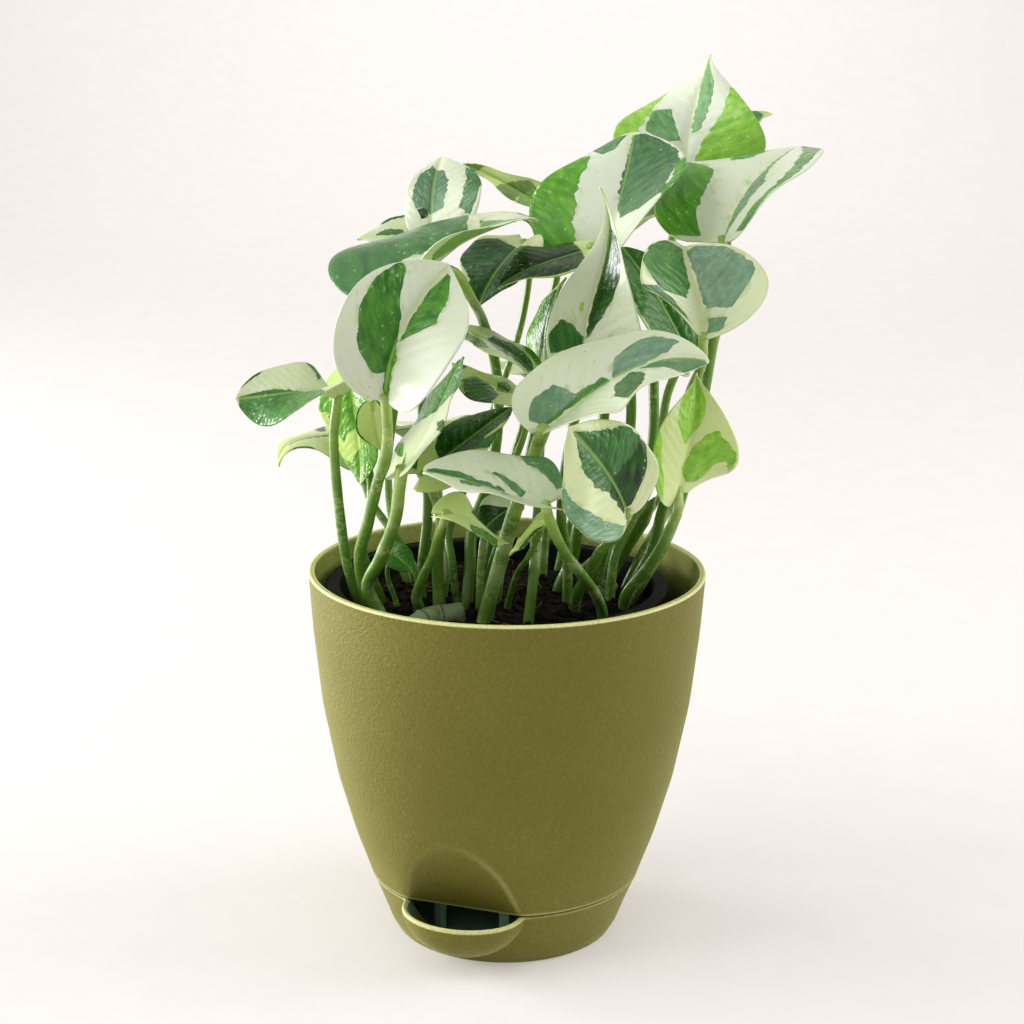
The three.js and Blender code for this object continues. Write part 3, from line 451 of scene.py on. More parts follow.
@dataclass(frozen=True)
class Leaf:
    """One leaf, by its measured places in millimetres and its angles in degrees, as in the part's source.

    Two numbers stand for the left half and the right one, seen from the base along the upper face.

    Attributes:
        base, tip: the midrib's ends.
        faces: the bearing and the height that the upper face looks towards.
        halves: the halves' widths at the widest place.
        rise, sway: how far the midrib's two handles lie up and to the right, as shares of the length.
        fold: each half's slant beside the midrib, at the base and at the tip.
        curl: how much further each half has turned at its margin, at the base and at the tip.
        twist: how far the blade turns about the midrib from base to tip.
        outline: the place of the widest width, the width's share at the base and the tip's power.
        lobes: how far each half reaches back beside the stalk, as shares of the length.
        wave: the margin's waves by their height, number and phase.
        foot: where the stalk enters the soil.
        radii: the stalk's radius at the blade and in the soil.
        stalk: what the stalk passes on its way down.
        ground: the colour between the patches, from 0 white over cream and yellow to 1 light green.
        patches: the green areas.
    """

    name: str
    base: Triple
    tip: Triple
    faces: Pair
    halves: Pair
    rise: Pair
    sway: Pair
    fold: tuple[Pair, Pair]
    curl: tuple[Pair, Pair]
    twist: float
    outline: Triple
    lobes: Pair
    wave: Triple
    foot: Pair
    radii: Pair
    stalk: tuple[Triple, ...]
    ground: float
    patches: tuple[Patch, ...]
    handles: ClassVar[Pair] = (1 / 3, 2 / 3)
    least_width: ClassVar[float] = 0.25
    large_width: ClassVar[float] = 24.0
    large_grid: ClassVar[tuple[int, int]] = (80, 48)
    small_grid: ClassVar[tuple[int, int]] = (48, 32)
    swell: ClassVar[float] = 0.14
    half_thickness: ClassVar[float] = 0.3
    edge_thinning: ClassVar[float] = 0.14
    tooth: ClassVar[float] = 0.032
    plain_tone: ClassVar[float] = 0.4
    stalk_rings: ClassVar[int] = 64
    stalk_sides: ClassVar[int] = 14
    waver_knots: ClassVar[int] = 15
    waver: ClassVar[float] = 0.05

    def width_share(self, t: Array) -> Array:
        """Half the blade's width at share t of its length, as a share of its widest.

        Before the widest place w it is n + (1 - n)(1 - (1 - t/w)^2.4)^0.62, with n the share left at the
        base, and after it (1 - ((t - w)/(1 - w))^1.9)^p. The powers are RISE_POWERS and FALL_POWER.
        """
        widest, sinus, taper = self.outline
        early = np.clip(1 - t / widest, 0, 1)
        late = np.clip((t - widest) / (1 - widest), 0, 1)
        rise = sinus + (1 - sinus) * (1 - early ** RISE_POWERS[0]) ** RISE_POWERS[1]
        return np.where(t < widest, rise, (1 - late ** FALL_POWER) ** taper)

    def slant(self, t: Array, s: Array) -> Array:
        """How far towards the tip a side vein has run at a point: 0.3 (w |s|)^1.2, w the width's share."""
        return VEIN_SLANT * (self.width_share(t) * np.abs(s)) ** VEIN_POWER

    def vein(self, t: Array, s: Array) -> Array:
        """Where the side vein through a point of the blade leaves the midrib: t less the slant."""
        return t - self.slant(t, s)

    def frame(self) -> tuple[Array, Array, Array, float]:
        """The leaf's base, its upward and rightward axes and its length."""
        base, tip = np.array(self.base, dtype=float), np.array(self.tip, dtype=float)
        length = float(np.linalg.norm(tip - base))
        along = (tip - base) / length
        bearing, height = math.radians(self.faces[0]), math.radians(self.faces[1])
        up = np.array([math.cos(height) * math.sin(bearing), -math.cos(height) * math.cos(bearing),
                       math.sin(height)])
        up = unit(up - along * (up @ along))
        return base, up, np.cross(along, up), length

    def midrib(self, t: Array) -> tuple[Array, Array]:
        """Points and directions of the midrib, a cubic Bezier curve bowed along the face and across it."""
        base, up, right, length = self.frame()
        tip = np.array(self.tip, dtype=float)
        first, second = (base + (tip - base) * share + (up * self.rise[i] + right * self.sway[i]) * length
                         for i, share in enumerate(self.handles))
        u = t[:, None]
        points = ((1 - u) ** 3 * base + 3 * (1 - u) ** 2 * u * first + 3 * (1 - u) * u ** 2 * second
                  + u ** 3 * tip)
        slopes = (3 * (1 - u) ** 2 * (first - base) + 6 * (1 - u) * u * (second - first)
                  + 3 * u ** 2 * (tip - second))
        return points, unit(slopes)

    def surface(self, t: Array, s: Array) -> Array:
        """The blade's middle surface over a grid.

        At share t of the midrib the half on the side of s is bent by curl * |s| from its fold, so that a
        point lies out = w (sin(fold + curl |s|) - sin fold) / curl from the midrib and is raised by
        -w (cos(fold + curl |s|) - cos fold) / curl. A sine along the margin is added to the height, and the
        lobes beside the stalk reach back by lobe * length * |s|^1.3 (1 - t)^2.5, by LOBE_POWERS.

        Args:
            t: shares of the midrib, (rows,).
            s: from -1 at the left margin to 1 at the right one, (columns,).

        Returns:
            Points, (rows, columns, 3).
        """
        points, forward = self.midrib(t)
        _, up, right, length = self.frame()
        twist = np.radians(self.twist) * (t - 0.5)[:, None]
        lift = np.cos(twist) * up + np.sin(twist) * right
        lift = unit(lift - forward * (lift * forward).sum(axis=1, keepdims=True))
        sideways = np.cross(forward, lift)
        across = np.abs(s)[None, :]
        left = (s < 0)[None, :]
        rows = t[:, None]

        def each(pair: tuple[float, float]) -> Array:
            """The left half's number where s is negative, the right half's elsewhere."""
            return np.where(left, pair[0], pair[1])

        def blend(pairs: tuple[Pair, Pair]) -> Array:
            """Each half's angle in radians, from the base's to the tip's."""
            return np.radians(each((pairs[0][0], pairs[1][0])) * (1 - rows)
                              + each((pairs[0][1], pairs[1][1])) * rows)

        width = np.maximum(each(self.halves) * self.width_share(t)[:, None], self.least_width)
        fold, curl = blend(self.fold), blend(self.curl)
        flat = 1e-3
        curl = np.where(np.abs(curl) < flat, flat, curl)
        amplitude, waves, phase = self.wave
        opposed = each((0.0, 0.5))
        ripple = amplitude * across ** 2 * np.sin(2 * np.pi * (waves * rows + phase + opposed))
        out = width * (np.sin(fold + curl * across) - np.sin(fold)) / curl
        raised = (-width * (np.cos(fold + curl * across) - np.cos(fold)) / curl
                  + ripple * np.minimum(1, width / (RIPPLE_FADE * sum(self.halves))))
        outward, tipward = LOBE_POWERS
        back = each(self.lobes) * length * across ** outward * (1 - rows) ** tipward
        return (points[:, None] + (np.sign(s)[None, :] * out)[..., None] * sideways[:, None]
                + raised[..., None] * lift[:, None] - back[..., None] * forward[:, None])

    def paint(self, t: Array, s: Array, rng: np.random.Generator) -> tuple[Array, Array, Array]:
        """The green patches as a field over the blade, positive inside, and the tone and grey of the nearest.

        Their outlines are made ragged like a comb: each point is looked up a little further out or in
        along its own side vein, by a noise that changes from vein to vein.

        Args:
            t: shares of the midrib, (rows,).
            s: from -1 to 1, (columns,).
            rng: the leaf's own random numbers.

        Returns:
            The field, the tone and the grey, each (rows, columns).
        """
        q = self.vein(t[:, None], s[None, :])
        knots = np.linspace(-0.4, 1.1, 62)
        best = np.full(q.shape, -1.0)
        tone = np.full(q.shape, self.plain_tone)
        grey = np.zeros(q.shape)
        for patch in self.patches:
            shifts = rng.uniform(-1, 1, (2, len(knots)))
            left, right = (np.interp(q, knots, row) for row in shifts)
            teeth = self.tooth * np.where(s < 0, left, right)
            moved = np.sign(s)[None, :] * np.clip(np.abs(s)[None, :] + teeth, 0, 1)
            here = patch.field(moved, q + self.slant(t[:, None], moved))
            tone = np.where(here > best, patch.tone, tone)
            grey = np.where(here > best, patch.grey, grey)
            best = np.maximum(best, here)
        return best, tone, grey

    def blade(self, rng: np.random.Generator, material: bpy.types.Material, coarse: bool) -> Skin:
        """The blade as a thin closed skin: the middle surface moved half a thickness to each face.

        The faces swell a little between the side veins, and the skin thins towards the margin.

        Args:
            rng: the leaf's own random numbers.
            material: the blades' finish.
            coarse: whether to make a quick, coarse skin.

        Returns:
            The skin, with paint (field, tone, ground), place (vein, s, millimetres from the midrib) and
            face (1 above and -1 below, grey, a number of its own) at its points.
        """
        rows, columns = self.large_grid if sum(self.halves) > self.large_width else self.small_grid
        if coarse:
            rows, columns = rows // 2, columns // 2
        even = np.linspace(0, 1, rows + 1)
        t = 0.5 * even + 0.25 * (1 - np.cos(np.pi * even))
        s = np.linspace(-1, 1, columns + 1)
        s = np.where(np.abs(s) < TINY, 0.0, s)
        middle = self.surface(t, s)
        down = np.gradient(middle, axis=0)
        over = np.gradient(middle, axis=1)
        normal = unit(np.cross(over, down))
        a = np.abs(s)[None, :]
        q = self.vein(t[:, None], s[None, :])
        share = self.width_share(t)[:, None]
        rest = 0 * q
        left_ahead = 0.02 * (s < 0)[None, :]
        ribs = np.abs(np.sin(np.pi * SIDE_VEINS * (q + left_ahead)))
        fade = smooth(0.04, 0.3, a) * smooth(1.0, 0.75, a) * share
        swell = (self.swell * (ribs ** 0.8 - 0.6) * fade)[..., None] * normal
        thickness = (self.half_thickness - self.edge_thinning * a ** 3 + rest)[..., None]
        groove = self.half_thickness * np.exp(-(a * share * 14) ** 2)[..., None]
        top = middle + swell + (thickness - groove) * normal
        bottom = middle + swell - (thickness + 1.5 * groove) * normal
        field, tone, grey = self.paint(t, s, rng)
        ground = np.full(q.shape, self.ground)
        width = np.where(s < 0, self.halves[0], self.halves[1])[None, :] * share
        own = float(rng.uniform(0, 100))

        def both(first: Array, second: Array) -> Array:
            """Values on the upper face, then on the lower one back from the right margin to the left one."""
            return np.concatenate([first, second[:, ::-1]], axis=1)

        def three(x: Array, y: Array, z: Array, below: float = 1.0) -> Array:
            """Three numbers at each point of both faces. Below, the first is multiplied."""
            return both(np.stack([x, y, z], axis=-1), np.stack([x * below, y, z], axis=-1))

        marks = {"paint": three(field, tone, ground), "place": three(q, s[None, :] + rest, a * width),
                 "face": three(rest + 1, grey, rest + own, -1.0)}
        return Skin(both(top, bottom), material, Ends.STRIP, marks)

    def stem(self, rng: np.random.Generator, material: bpy.types.Material) -> Skin:
        """The stalk as a tapered tube along a spline from the base down into the soil.

        Its radius grows from the thin one by (thick - thin) u^1.5, and wavers a little.

        Args:
            rng: the leaf's own random numbers.
            material: the stalks' finish.

        Returns:
            The skin, with stalk (share of its length, ground, a number of its own) at its points.
        """
        x, y = self.foot
        points = [self.base, *self.stalk, (x, y, SOIL_Z), (x, y, SOIL_Z - STALK_DEPTH)]
        path = spline(points, self.stalk_rings)
        start = unit(path[0] - path[1])
        least, further = HEAD_REACH
        reach = least + further * max(0.0, float(start @ self.midrib(np.zeros(1))[1][0]))
        path[0] += start * reach
        u = np.linspace(0, 1, len(path))
        thin, thick = self.radii
        knots = np.linspace(0, 1, self.waver_knots)
        waver = np.interp(u, knots, rng.uniform(-self.waver, self.waver, self.waver_knots))
        radius = (thin + (thick - thin) * u ** STALK_FLARE) * (1 + waver)
        turn = full_turn(self.stalk_sides)
        groove = 1 - 0.1 * np.maximum(0, np.cos(turn[None, :] - 0.8 - 1.5 * u[:, None])) ** 6
        own = float(rng.uniform(0, 100))
        marks = np.stack(np.broadcast_arrays(u[:, None], self.ground, own, groove)[:3], axis=-1)
        return Skin(tube(path, radius, self.stalk_sides, groove), material, Ends.FLAT, {"stalk": marks})


LEAVES = (
    Leaf("leaf_01", base=(-54, -12, 182.5), tip=(-85, -21.5, 184), faces=(20, 56), halves=(17, 13.5),
         rise=(0.24, -0.01), sway=(-0.07, 0.01), fold=((70, -15), (10, 10)), curl=((0, -25), (-15, -10)),
         twist=-30, outline=(0.33, 0.3, 0.78), lobes=(0.06, 0.06), wave=(0.7, 1.5, 0.4), foot=(-49, -3),
         radii=(1.5, 1.9), stalk=((-55.5, -11, 168.5), (-54.5, -8, 148), (-52.5, -4, 127)),
         ground=0.22, patches=(Patch(0.42, ((-1, 0.3), (-1, 0.97), (0.2, 0.97), (0.2, 0.75), (0.1, 0.5),
           (0, 0.28)), 0.15), Patch(0.3, ((0.85, 0.92), (1, 0.95), (1, 0.7), (0.9, 0.75))), Patch(0.5, (
           (0.35, 0.18), (0.75, 0.2), (1, 0.3), (1, 0.02), (0.9, 0.05), (0.7, 0.14))))),
    Leaf("leaf_02", base=(-55, 24, 163), tip=(-75, 4, 156.5), faces=(-66, 76), halves=(15, 11),
         rise=(0.05, 0.3), sway=(-0.01, 0.23), fold=((-25, 10), (5, 5)), curl=((-40, -10), (-20, -15)),
         twist=25, outline=(0.27, 0.3, 1.48), lobes=(0.16, 0.16), wave=(0.7, 1.5, 0.6), foot=(-28, 2),
         radii=(1.2, 1.7), stalk=((-49, 13, 153), (-45.5, 11, 143.5), (-41, 8, 137.5), (-37, 6, 132.5),
           (-33, 4, 126.5), (-29.5, 2, 119.5)),
         ground=0.45, patches=(Patch(0.12, ((-0.25, 0.75), (-0.12, 0.78), (0, 0.5), (0.05, 0.2),
           (-0.05, 0.2), (-0.12, 0.45)), 0.2), Patch(0.15, ((0.3, 0.2), (0.4, 0.28), (1, 0.28), (1, 0.15))),
           Patch(0.2, ((-1, 0.88), (-0.85, 0.8), (-0.85, 0.6), (-1, 0.6)), 0.2))),
    Leaf("leaf_03", base=(-51, 4, 184.5), tip=(-48, -2.5, 152), faces=(-43, 4), halves=(12.5, 13.5),
         rise=(0.06, -0.04), sway=(-0.07, -0.05), fold=((20, 5), (20, 0)), curl=((-5, -10), (-5, -20)),
         twist=5, outline=(0.32, 0.3, 0.8), lobes=(0.17, 0.17), wave=(0.7, 2, 0.2), foot=(-45, 7),
         radii=(1.2, 1.6), stalk=((-48, 8, 167.5), (-45, 5, 151.5), (-45.5, 2, 139), (-48, 2, 125.5)),
         ground=0.8, patches=(Patch(0.72, ((-1, 0.05), (-1, 1), (1, 1), (1, 0.75), (0.5, 0.8), (-0.1, 0.62),
           (0, 0.45), (0.35, 0.5), (0.6, 0.62), (0.8, 0.3), (1, 0.3), (1, 0.1), (0.1, 0.05))),)),
    Leaf("leaf_03_b", base=(-43, -14, 181.5), tip=(-40.5, -11, 165), faces=(5, -10), halves=(5, 6.5),
         rise=(0.05, 0.05), sway=(0.04, 0), fold=((25, 15), (30, 10)), curl=((-5, -5), (0, -10)), twist=5,
         outline=(0.39, 0.27, 1.31), lobes=(0.05, 0.05), wave=(0.4, 1.5, 0), foot=(-41, 0),
         radii=(1, 1.4), stalk=((-39.5, -12, 172), (-40.5, -10, 158.5), (-43.5, -6, 147.5), (-47, -2, 130)),
         ground=0.6, patches=(Patch(0.6, ((-1, 0), (-1, 1), (-0.75, 0.9), (-0.65, 0.5), (-0.75, 0))),
           Patch(0.5, ((0.93, 0), (1, 0), (1, 1), (0.88, 0.9))))),
    Leaf("leaf_04", base=(-36.5, -51, 190), tip=(-18, -42, 229.5), faces=(-9, 17), halves=(19.5, 23),
         rise=(0.35, 0.1), sway=(-0.08, -0.07), fold=((30, 35), (35, 20)), curl=((0, 10), (5, 0)), twist=5,
         outline=(0.46, 0.1, 0.93), lobes=(0, 0), wave=(0.9, 1.5, 0.6), foot=(-45, -11),
         radii=(1.7, 2.1), stalk=((-36.5, -43, 180.5), (-37, -40, 172), (-40.5, -32, 159),
           (-44, -22, 144.5), (-47.5, -13, 129.5)),
         ground=0.08, patches=(Patch(0.42, ((-0.97, 0.79), (-0.71, 0.77), (-0.42, 0.68), (-0.12, 0.53),
           (0.02, 0.38), (0, 0.17), (-0.29, 0.16), (-0.58, 0.28), (-0.75, 0.45), (-0.87, 0.61))),
           Patch(0.5, ((0.04, 0.78), (0.29, 0.93), (0.57, 0.93), (0.5, 0.74), (0.46, 0.57), (0.21, 0.45),
           (0.06, 0.38))), Patch(0.6, ((-0.1, 0), (0.15, 0), (0.1, 0.3), (0, 0.35), (-0.05, 0.2))))),
    Leaf("leaf_05", base=(-32.5, -38, 165), tip=(-14.5, -14.5, 196.5), faces=(-71, 38), halves=(19.5, 15),
         rise=(-0.06, -0.01), sway=(0, 0), fold=((5, 0), (15, 15)), curl=((-20, -15), (-10, -5)), twist=-5,
         outline=(0.42, 0.18, 0.65), lobes=(0.07, 0.07), wave=(0.7, 2.5, 0.4), foot=(-40, -20),
         radii=(2, 2.3), stalk=((-33.5, -36, 158), (-35, -32, 148), (-40, -25, 133.5), (-44.5, -20, 122.5)),
         ground=0.2, patches=(Patch(0.42, ((-1, 0.56), (-0.67, 0.47), (-0.25, 0.5), (0.04, 0.54),
           (0.5, 0.56), (1, 0.6), (1, 0.98), (-1, 0.98)), 0.1), Patch(0.5, ((-1, 0.37), (-0.6, 0.3),
           (-0.4, 0.17), (-0.5, 0.17), (-1, 0.3))), Patch(0.3, ((0.5, 0.4), (1, 0.4), (1, 0.3),
           (0.8, 0.33))), Patch(0.5, ((-0.3, 0.2), (-0.15, 0.1), (-0.05, 0), (-0.15, 0), (-0.25, 0.1))))),
    Leaf("leaf_06", base=(-26, 25, 230), tip=(-23, 42.5, 253.5), faces=(-21, 36), halves=(9.5, 18),
         rise=(0.13, 0.1), sway=(0.01, -0.03), fold=((15, 5), (15, 10)), curl=((-15, -10), (-10, -10)),
         twist=-5, outline=(0.44, 0.29, 1.04), lobes=(0.11, 0.11), wave=(0.7, 1.5, 0.2), foot=(-29, 12),
         radii=(1.5, 1.8), stalk=((-28, 15, 209.5), (-28.5, 12, 177), (-26.5, 8, 149), (-26.5, 7, 138),
           (-28, 7, 124)),
         ground=0.1, patches=(Patch(0.25, ((-0.75, 0.73), (-0.38, 0.83), (0.25, 0.75), (0.33, 0.62),
           (0.25, 0.26), (-0.04, 0.2), (-0.25, 0.29), (-0.54, 0.29), (-0.71, 0.41)), 0.45), Patch(0.08, (
           (-0.5, 0.28), (-0.15, 0.28), (-0.1, 0.17), (-0.4, 0.17))), Patch(0.3, ((0.75, 0.68), (1, 0.79),
           (1, 0.5), (0.88, 0.2), (0.62, 0.26), (0.67, 0.5)), 0.3))),
    Leaf("leaf_07", base=(-25, -23, 225.5), tip=(7.5, 22.5, 233), faces=(16, 77), halves=(35, 29),
         rise=(0.11, 0.31), sway=(0.05, -0.01), fold=((5, -20), (50, -10)), curl=((-10, -30), (10, -25)),
         twist=0, outline=(0.2, 0.27, 1.95), lobes=(0.42, 0.12), wave=(0.9, 2.5, 0.8), foot=(-13, -6),
         radii=(1.6, 2.2), stalk=((-17, -18, 223.5), (-12, -6, 213.5), (-8.5, 15, 202.5),
           (-4.5, 20, 187.5), (-3.5, 16, 170), (-6, 10, 151), (-11.5, 2, 136), (-12, -2, 126)),
         ground=0.15, patches=(Patch(0.3, ((-1, 0.72), (-0.6, 0.64), (-0.25, 0.5), (-0.02, 0.36),
           (-0.08, 0.18), (-0.4, 0.02), (-0.7, -0.1), (-1, -0.3)), 0.2), Patch(0.42, ((-0.1, 0.5),
           (0.5, 0.45), (0.75, 0.5), (0.8, 0.4), (0.4, 0.36), (0.1, 0.38)), 0.3), Patch(0.38, ((0, 0.76),
           (0.4, 0.82), (0.95, 0.76), (0.9, 0.66), (0.5, 0.68)), 0.3), Patch(0.4, ((0.2, 0.12), (0.6, 0.15),
           (1, 0.3), (1, 0.1), (0.7, 0.02), (0.3, 0.02)), 0.2), Patch(0.45, ((-1, 0.84), (1, 0.88), (1, 1),
           (-1, 1)), 0.2))),
    Leaf("leaf_08", base=(17, 59.5, 232.5), tip=(-16, 52.5, 250.5), faces=(141, 55), halves=(13, 13.5),
         rise=(0.02, 0.04), sway=(0.01, -0.02), fold=((10, 5), (15, 5)), curl=((-15, -10), (-10, -10)),
         twist=0, outline=(0.34, 0.3, 1.2), lobes=(0.16, 0.16), wave=(0.7, 2, 0.4), foot=(-8, 28),
         radii=(1.2, 1.6), stalk=((16.5, 34, 220.5), (12, 32, 197), (5.5, 30, 167), (-2.5, 28, 139.5)),
         ground=0.5, patches=(Patch(0.35, ((-1, 0.98), (1, 0.98), (1, 0.86), (-1, 0.84))), Patch(0.08, (
           (-0.9, 0.5), (0, 0.58), (1, 0.6), (1, 0.4), (0.2, 0.38), (-0.6, 0.38))), Patch(0.6, ((-1, 0.38),
           (1, 0.38), (1, 0.05), (-1, 0.05))))),
    Leaf("leaf_09", base=(59.5, 62, 247), tip=(68, 76.5, 286), faces=(-28, 23), halves=(25.5, 27.5),
         rise=(0.09, 0), sway=(-0.05, -0.01), fold=((25, -15), (5, 5)), curl=((-5, -30), (-15, -10)),
         twist=-25, outline=(0.28, 0.26, 1.54), lobes=(0, 0), wave=(0.9, 1.5, 0), foot=(34, 26),
         radii=(1.5, 2), stalk=((55, 44, 229.5), (51.5, 36, 207), (48.5, 28, 183.5), (48.5, 24, 165),
           (46, 23, 148), (38.5, 23, 130.5)),
         ground=0.05, patches=(Patch(0.9, ((-1, 0.7), (-0.78, 0.58), (-0.66, 0.42), (-0.66, 0.15),
           (-0.7, -0.1), (-1, -0.3)), 0.1), Patch(0.5, ((-0.65, 0.47), (-0.4, 0.5), (-0.2, 0.38),
           (-0.1, 0.25), (-0.3, 0.22), (-0.6, 0.3)), 0.4), Patch(0.6, ((-0.1, 0.97), (0.45, 0.97),
           (0.45, 0.78), (0.3, 0.6), (0.15, 0.35), (0.03, 0.3), (0.03, 0.6)), 0.5), Patch(0.88, (
           (0.16, 0.16), (0.33, 0.41), (0.62, 0.62), (0.92, 0.74), (1.1, 0.7), (1.1, -0.3), (0.6, -0.2),
           (0.2, -0.02)), 0.1))),
    Leaf("leaf_09_b", base=(76.5, 74, 255.5), tip=(90.5, 80, 266), faces=(-47, 53), halves=(8, 7),
         rise=(0.1, 0.13), sway=(-0.03, -0.03), fold=((20, 25), (25, 20)), curl=((-5, 0), (-5, 0)), twist=0,
         outline=(0.38, 0.3, 1.21), lobes=(0.16, 0.16), wave=(0.4, 2, 0.2), foot=(24, 34),
         radii=(0.9, 1.3), stalk=((76, 54, 242), (73, 48, 219), (66.5, 42, 189), (58.5, 38, 155),
           (46.5, 34, 131.5)),
         ground=0.5, patches=(Patch(0.4, ((-0.95, 0.05), (-0.95, 0.8), (0.2, 0.85), (0.9, 0.7),
           (0.95, 0.05)), 0.6),)),
    Leaf("leaf_10", base=(31.5, 25.5, 225.5), tip=(41, 50, 261.5), faces=(-33, 35), halves=(30, 27.5),
         rise=(0.09, 0), sway=(0.07, 0.04), fold=((25, 5), (40, 0)), curl=((0, -15), (10, -15)), twist=10,
         outline=(0.34, 0.31, 0.7), lobes=(0.19, 0.19), wave=(0.9, 1.5, 0.4), foot=(29, 15),
         radii=(1.6, 2.1), stalk=((35, 14, 210.5), (39.5, 12, 184.5), (40, 12, 167.5), (37.5, 13, 150.5),
           (33.5, 14, 133)),
         ground=0.05, patches=(Patch(0.66, ((-1, 0.82), (-0.75, 0.8), (-0.58, 0.67), (-0.48, 0.34),
           (-0.48, 0.06), (-1, 0.04))), Patch(0.35, ((-0.95, 0.97), (-0.35, 0.97), (-0.35, 0.85),
           (-0.5, 0.8), (-0.95, 0.86)), 0.5), Patch(0.2, ((-0.03, 0.97), (0.85, 0.97), (0.95, 0.75),
           (0.8, 0.5), (0.9, 0.34), (0.6, 0.25), (0.2, 0.22), (0, 0.3), (-0.05, 0.5)), 0.25), Patch(0.6, (
           (0.82, 0.6), (1, 0.68), (1, 0.28), (0.88, 0.35))))),
    Leaf("leaf_11", base=(68.5, 14, 229), tip=(94.5, 40, 258), faces=(-22, 49), halves=(38.5, 24.5),
         rise=(0.16, 0.21), sway=(-0.08, 0.03), fold=((5, -25), (40, 25)), curl=((-10, -20), (0, 0)),
         twist=20, outline=(0.49, 0.33, 0.7), lobes=(0.01, 0.01), wave=(0.9, 2, 0.2), foot=(41, -1),
         radii=(1.5, 1.9), stalk=((68.5, 6, 212), (65.5, 3, 198), (63.5, 1, 185), (60.5, -1, 167.5),
           (57, -2, 151), (53.5, -2, 138.5), (49, -2, 128.5)),
         ground=0.08, patches=(Patch(0.45, ((-0.9, 0.97), (-0.4, 0.95), (-0.3, 0.75), (-0.45, 0.65),
           (-0.7, 0.8)), 0.5), Patch(0.66, ((-1, 0.6), (-0.7, 0.55), (-0.45, 0.5), (-0.4, 0.3),
           (-0.4, 0.03), (-1, 0.03)), 0.1), Patch(0.3, ((0.02, 0.95), (0.12, 0.95), (0.1, 0.6),
           (0.35, 0.45), (0.35, 0.2), (0.15, 0.05), (0.02, 0.05)), 0.6), Patch(0.5, ((0.4, 0.95),
           (0.6, 0.98), (0.9, 0.98), (0.85, 0.6), (0.95, 0.3), (1, 0.05), (0.65, 0.05), (0.75, 0.35),
           (0.55, 0.7)), 0.2), Patch(0.12, ((0.6, 0.98), (0.98, 0.99), (0.98, 0.85), (0.8, 0.75),
           (0.6, 0.85)), 0.1))),
    Leaf("leaf_12", base=(60, -21, 204.5), tip=(55.5, 6.5, 229), faces=(12, 49), halves=(28.5, 22.5),
         rise=(-0.1, 0.09), sway=(0.14, -0.05), fold=((35, 30), (35, 30)), curl=((5, 5), (0, 5)), twist=5,
         outline=(0.42, 0.1, 0.86), lobes=(0.05, 0.05), wave=(0.9, 1.5, 0.4), foot=(41, 9),
         radii=(1.5, 2.3), stalk=((61, -9, 193.5), (58, -3, 183.5), (55.5, 0, 167), (52.5, 4, 149.5),
           (50.5, 6, 140.5), (48, 8, 128.5)),
         ground=0.25, patches=(Patch(0.38, ((-0.96, 0.92), (-0.12, 0.93), (-0.1, 0.6), (-0.25, 0.38),
           (-0.62, 0.36), (-1, 0.6)), 0.1), Patch(0.3, ((-1, 0.33), (-0.75, 0.4), (-0.5, 0.3), (-0.45, 0.1),
           (-0.6, 0.03), (-1, 0.05)), 0.1), Patch(0.27, ((0.06, 0.92), (0.7, 0.94), (0.9, 0.8), (0.92, 0.5),
           (0.7, 0.38), (0.45, 0.23), (0.2, 0.3), (0.04, 0.3)), 0.8), Patch(0.35, ((0.05, 0.2),
           (0.45, 0.15), (0.55, 0.03), (0.1, 0.03)), 0.7))),
    Leaf("leaf_13", base=(24.5, -16, 191), tip=(27.5, -9, 249), faces=(-20, 7), halves=(12, 21.5),
         rise=(-0.06, -0.13), sway=(-0.15, 0.17), fold=((25, 10), (15, 40)), curl=((-10, -10), (-10, 10)),
         twist=-15, outline=(0.2, 0.31, 2), lobes=(0.01, 0.01), wave=(0.7, 2, 0.4), foot=(20, 2),
         radii=(1.5, 1.8), stalk=((20.5, -6, 171.5), (18, -4, 154.5), (17.5, -2, 140.5), (19.5, 0, 130)),
         ground=0.12, patches=(Patch(0.14, ((-0.05, 0.76), (0.38, 0.8), (0.88, 0.76), (0.92, 0.67),
           (0.54, 0.5), (0.29, 0.34), (0.08, 0.19), (0.02, 0.25), (0, 0.55))), Patch(0.35, ((-0.95, 0.2),
           (-0.7, 0.28), (-0.35, 0.26), (0, 0.2), (0, 0.12), (-0.4, 0.14), (-0.9, 0.12))), Patch(0.95, (
           (-0.33, 0.38), (-0.22, 0.39), (-0.2, 0.33), (-0.3, 0.33))), Patch(0.28, ((-0.05, 0.98),
           (0.15, 0.98), (0.38, 0.8), (-0.05, 0.76))))),
    Leaf("leaf_14", base=(57.5, 10, 194.5), tip=(36, 15, 227.5), faces=(35, 27), halves=(14.5, 13.5),
         rise=(0.07, 0.06), sway=(-0.01, 0.02), fold=((20, 15), (15, 10)), curl=((-10, -5), (-15, -10)),
         twist=-5, outline=(0.34, 0.3, 0.85), lobes=(0.18, 0.18), wave=(0.7, 1.5, 0.8), foot=(34, 3),
         radii=(1.4, 1.8), stalk=((53.5, 8, 186), (51, 8, 177), (48.5, 8, 155), (41, 6, 138.5),
           (35.5, 4, 127)),
         ground=0.4, patches=(Patch(0.4, ((-0.92, 0), (-0.92, 1), (1, 1), (1, 0))), Patch(0.2, ((-0.7, 0.8),
           (-0.2, 0.8), (0, 0.3), (-0.3, 0.2), (-0.8, 0.4))))),
    Leaf("leaf_15", base=(10.5, -47, 180), tip=(61, -34, 199.5), faces=(-26, 60), halves=(19, 35),
         rise=(-0.05, 0.19), sway=(-0.17, -0.15), fold=((20, 15), (35, 20)), curl=((-10, -5), (0, -5)),
         twist=-5, outline=(0.2, 0.1, 0.7), lobes=(0.06, 0.06), wave=(0.9, 2, 0.6), foot=(-7, -22),
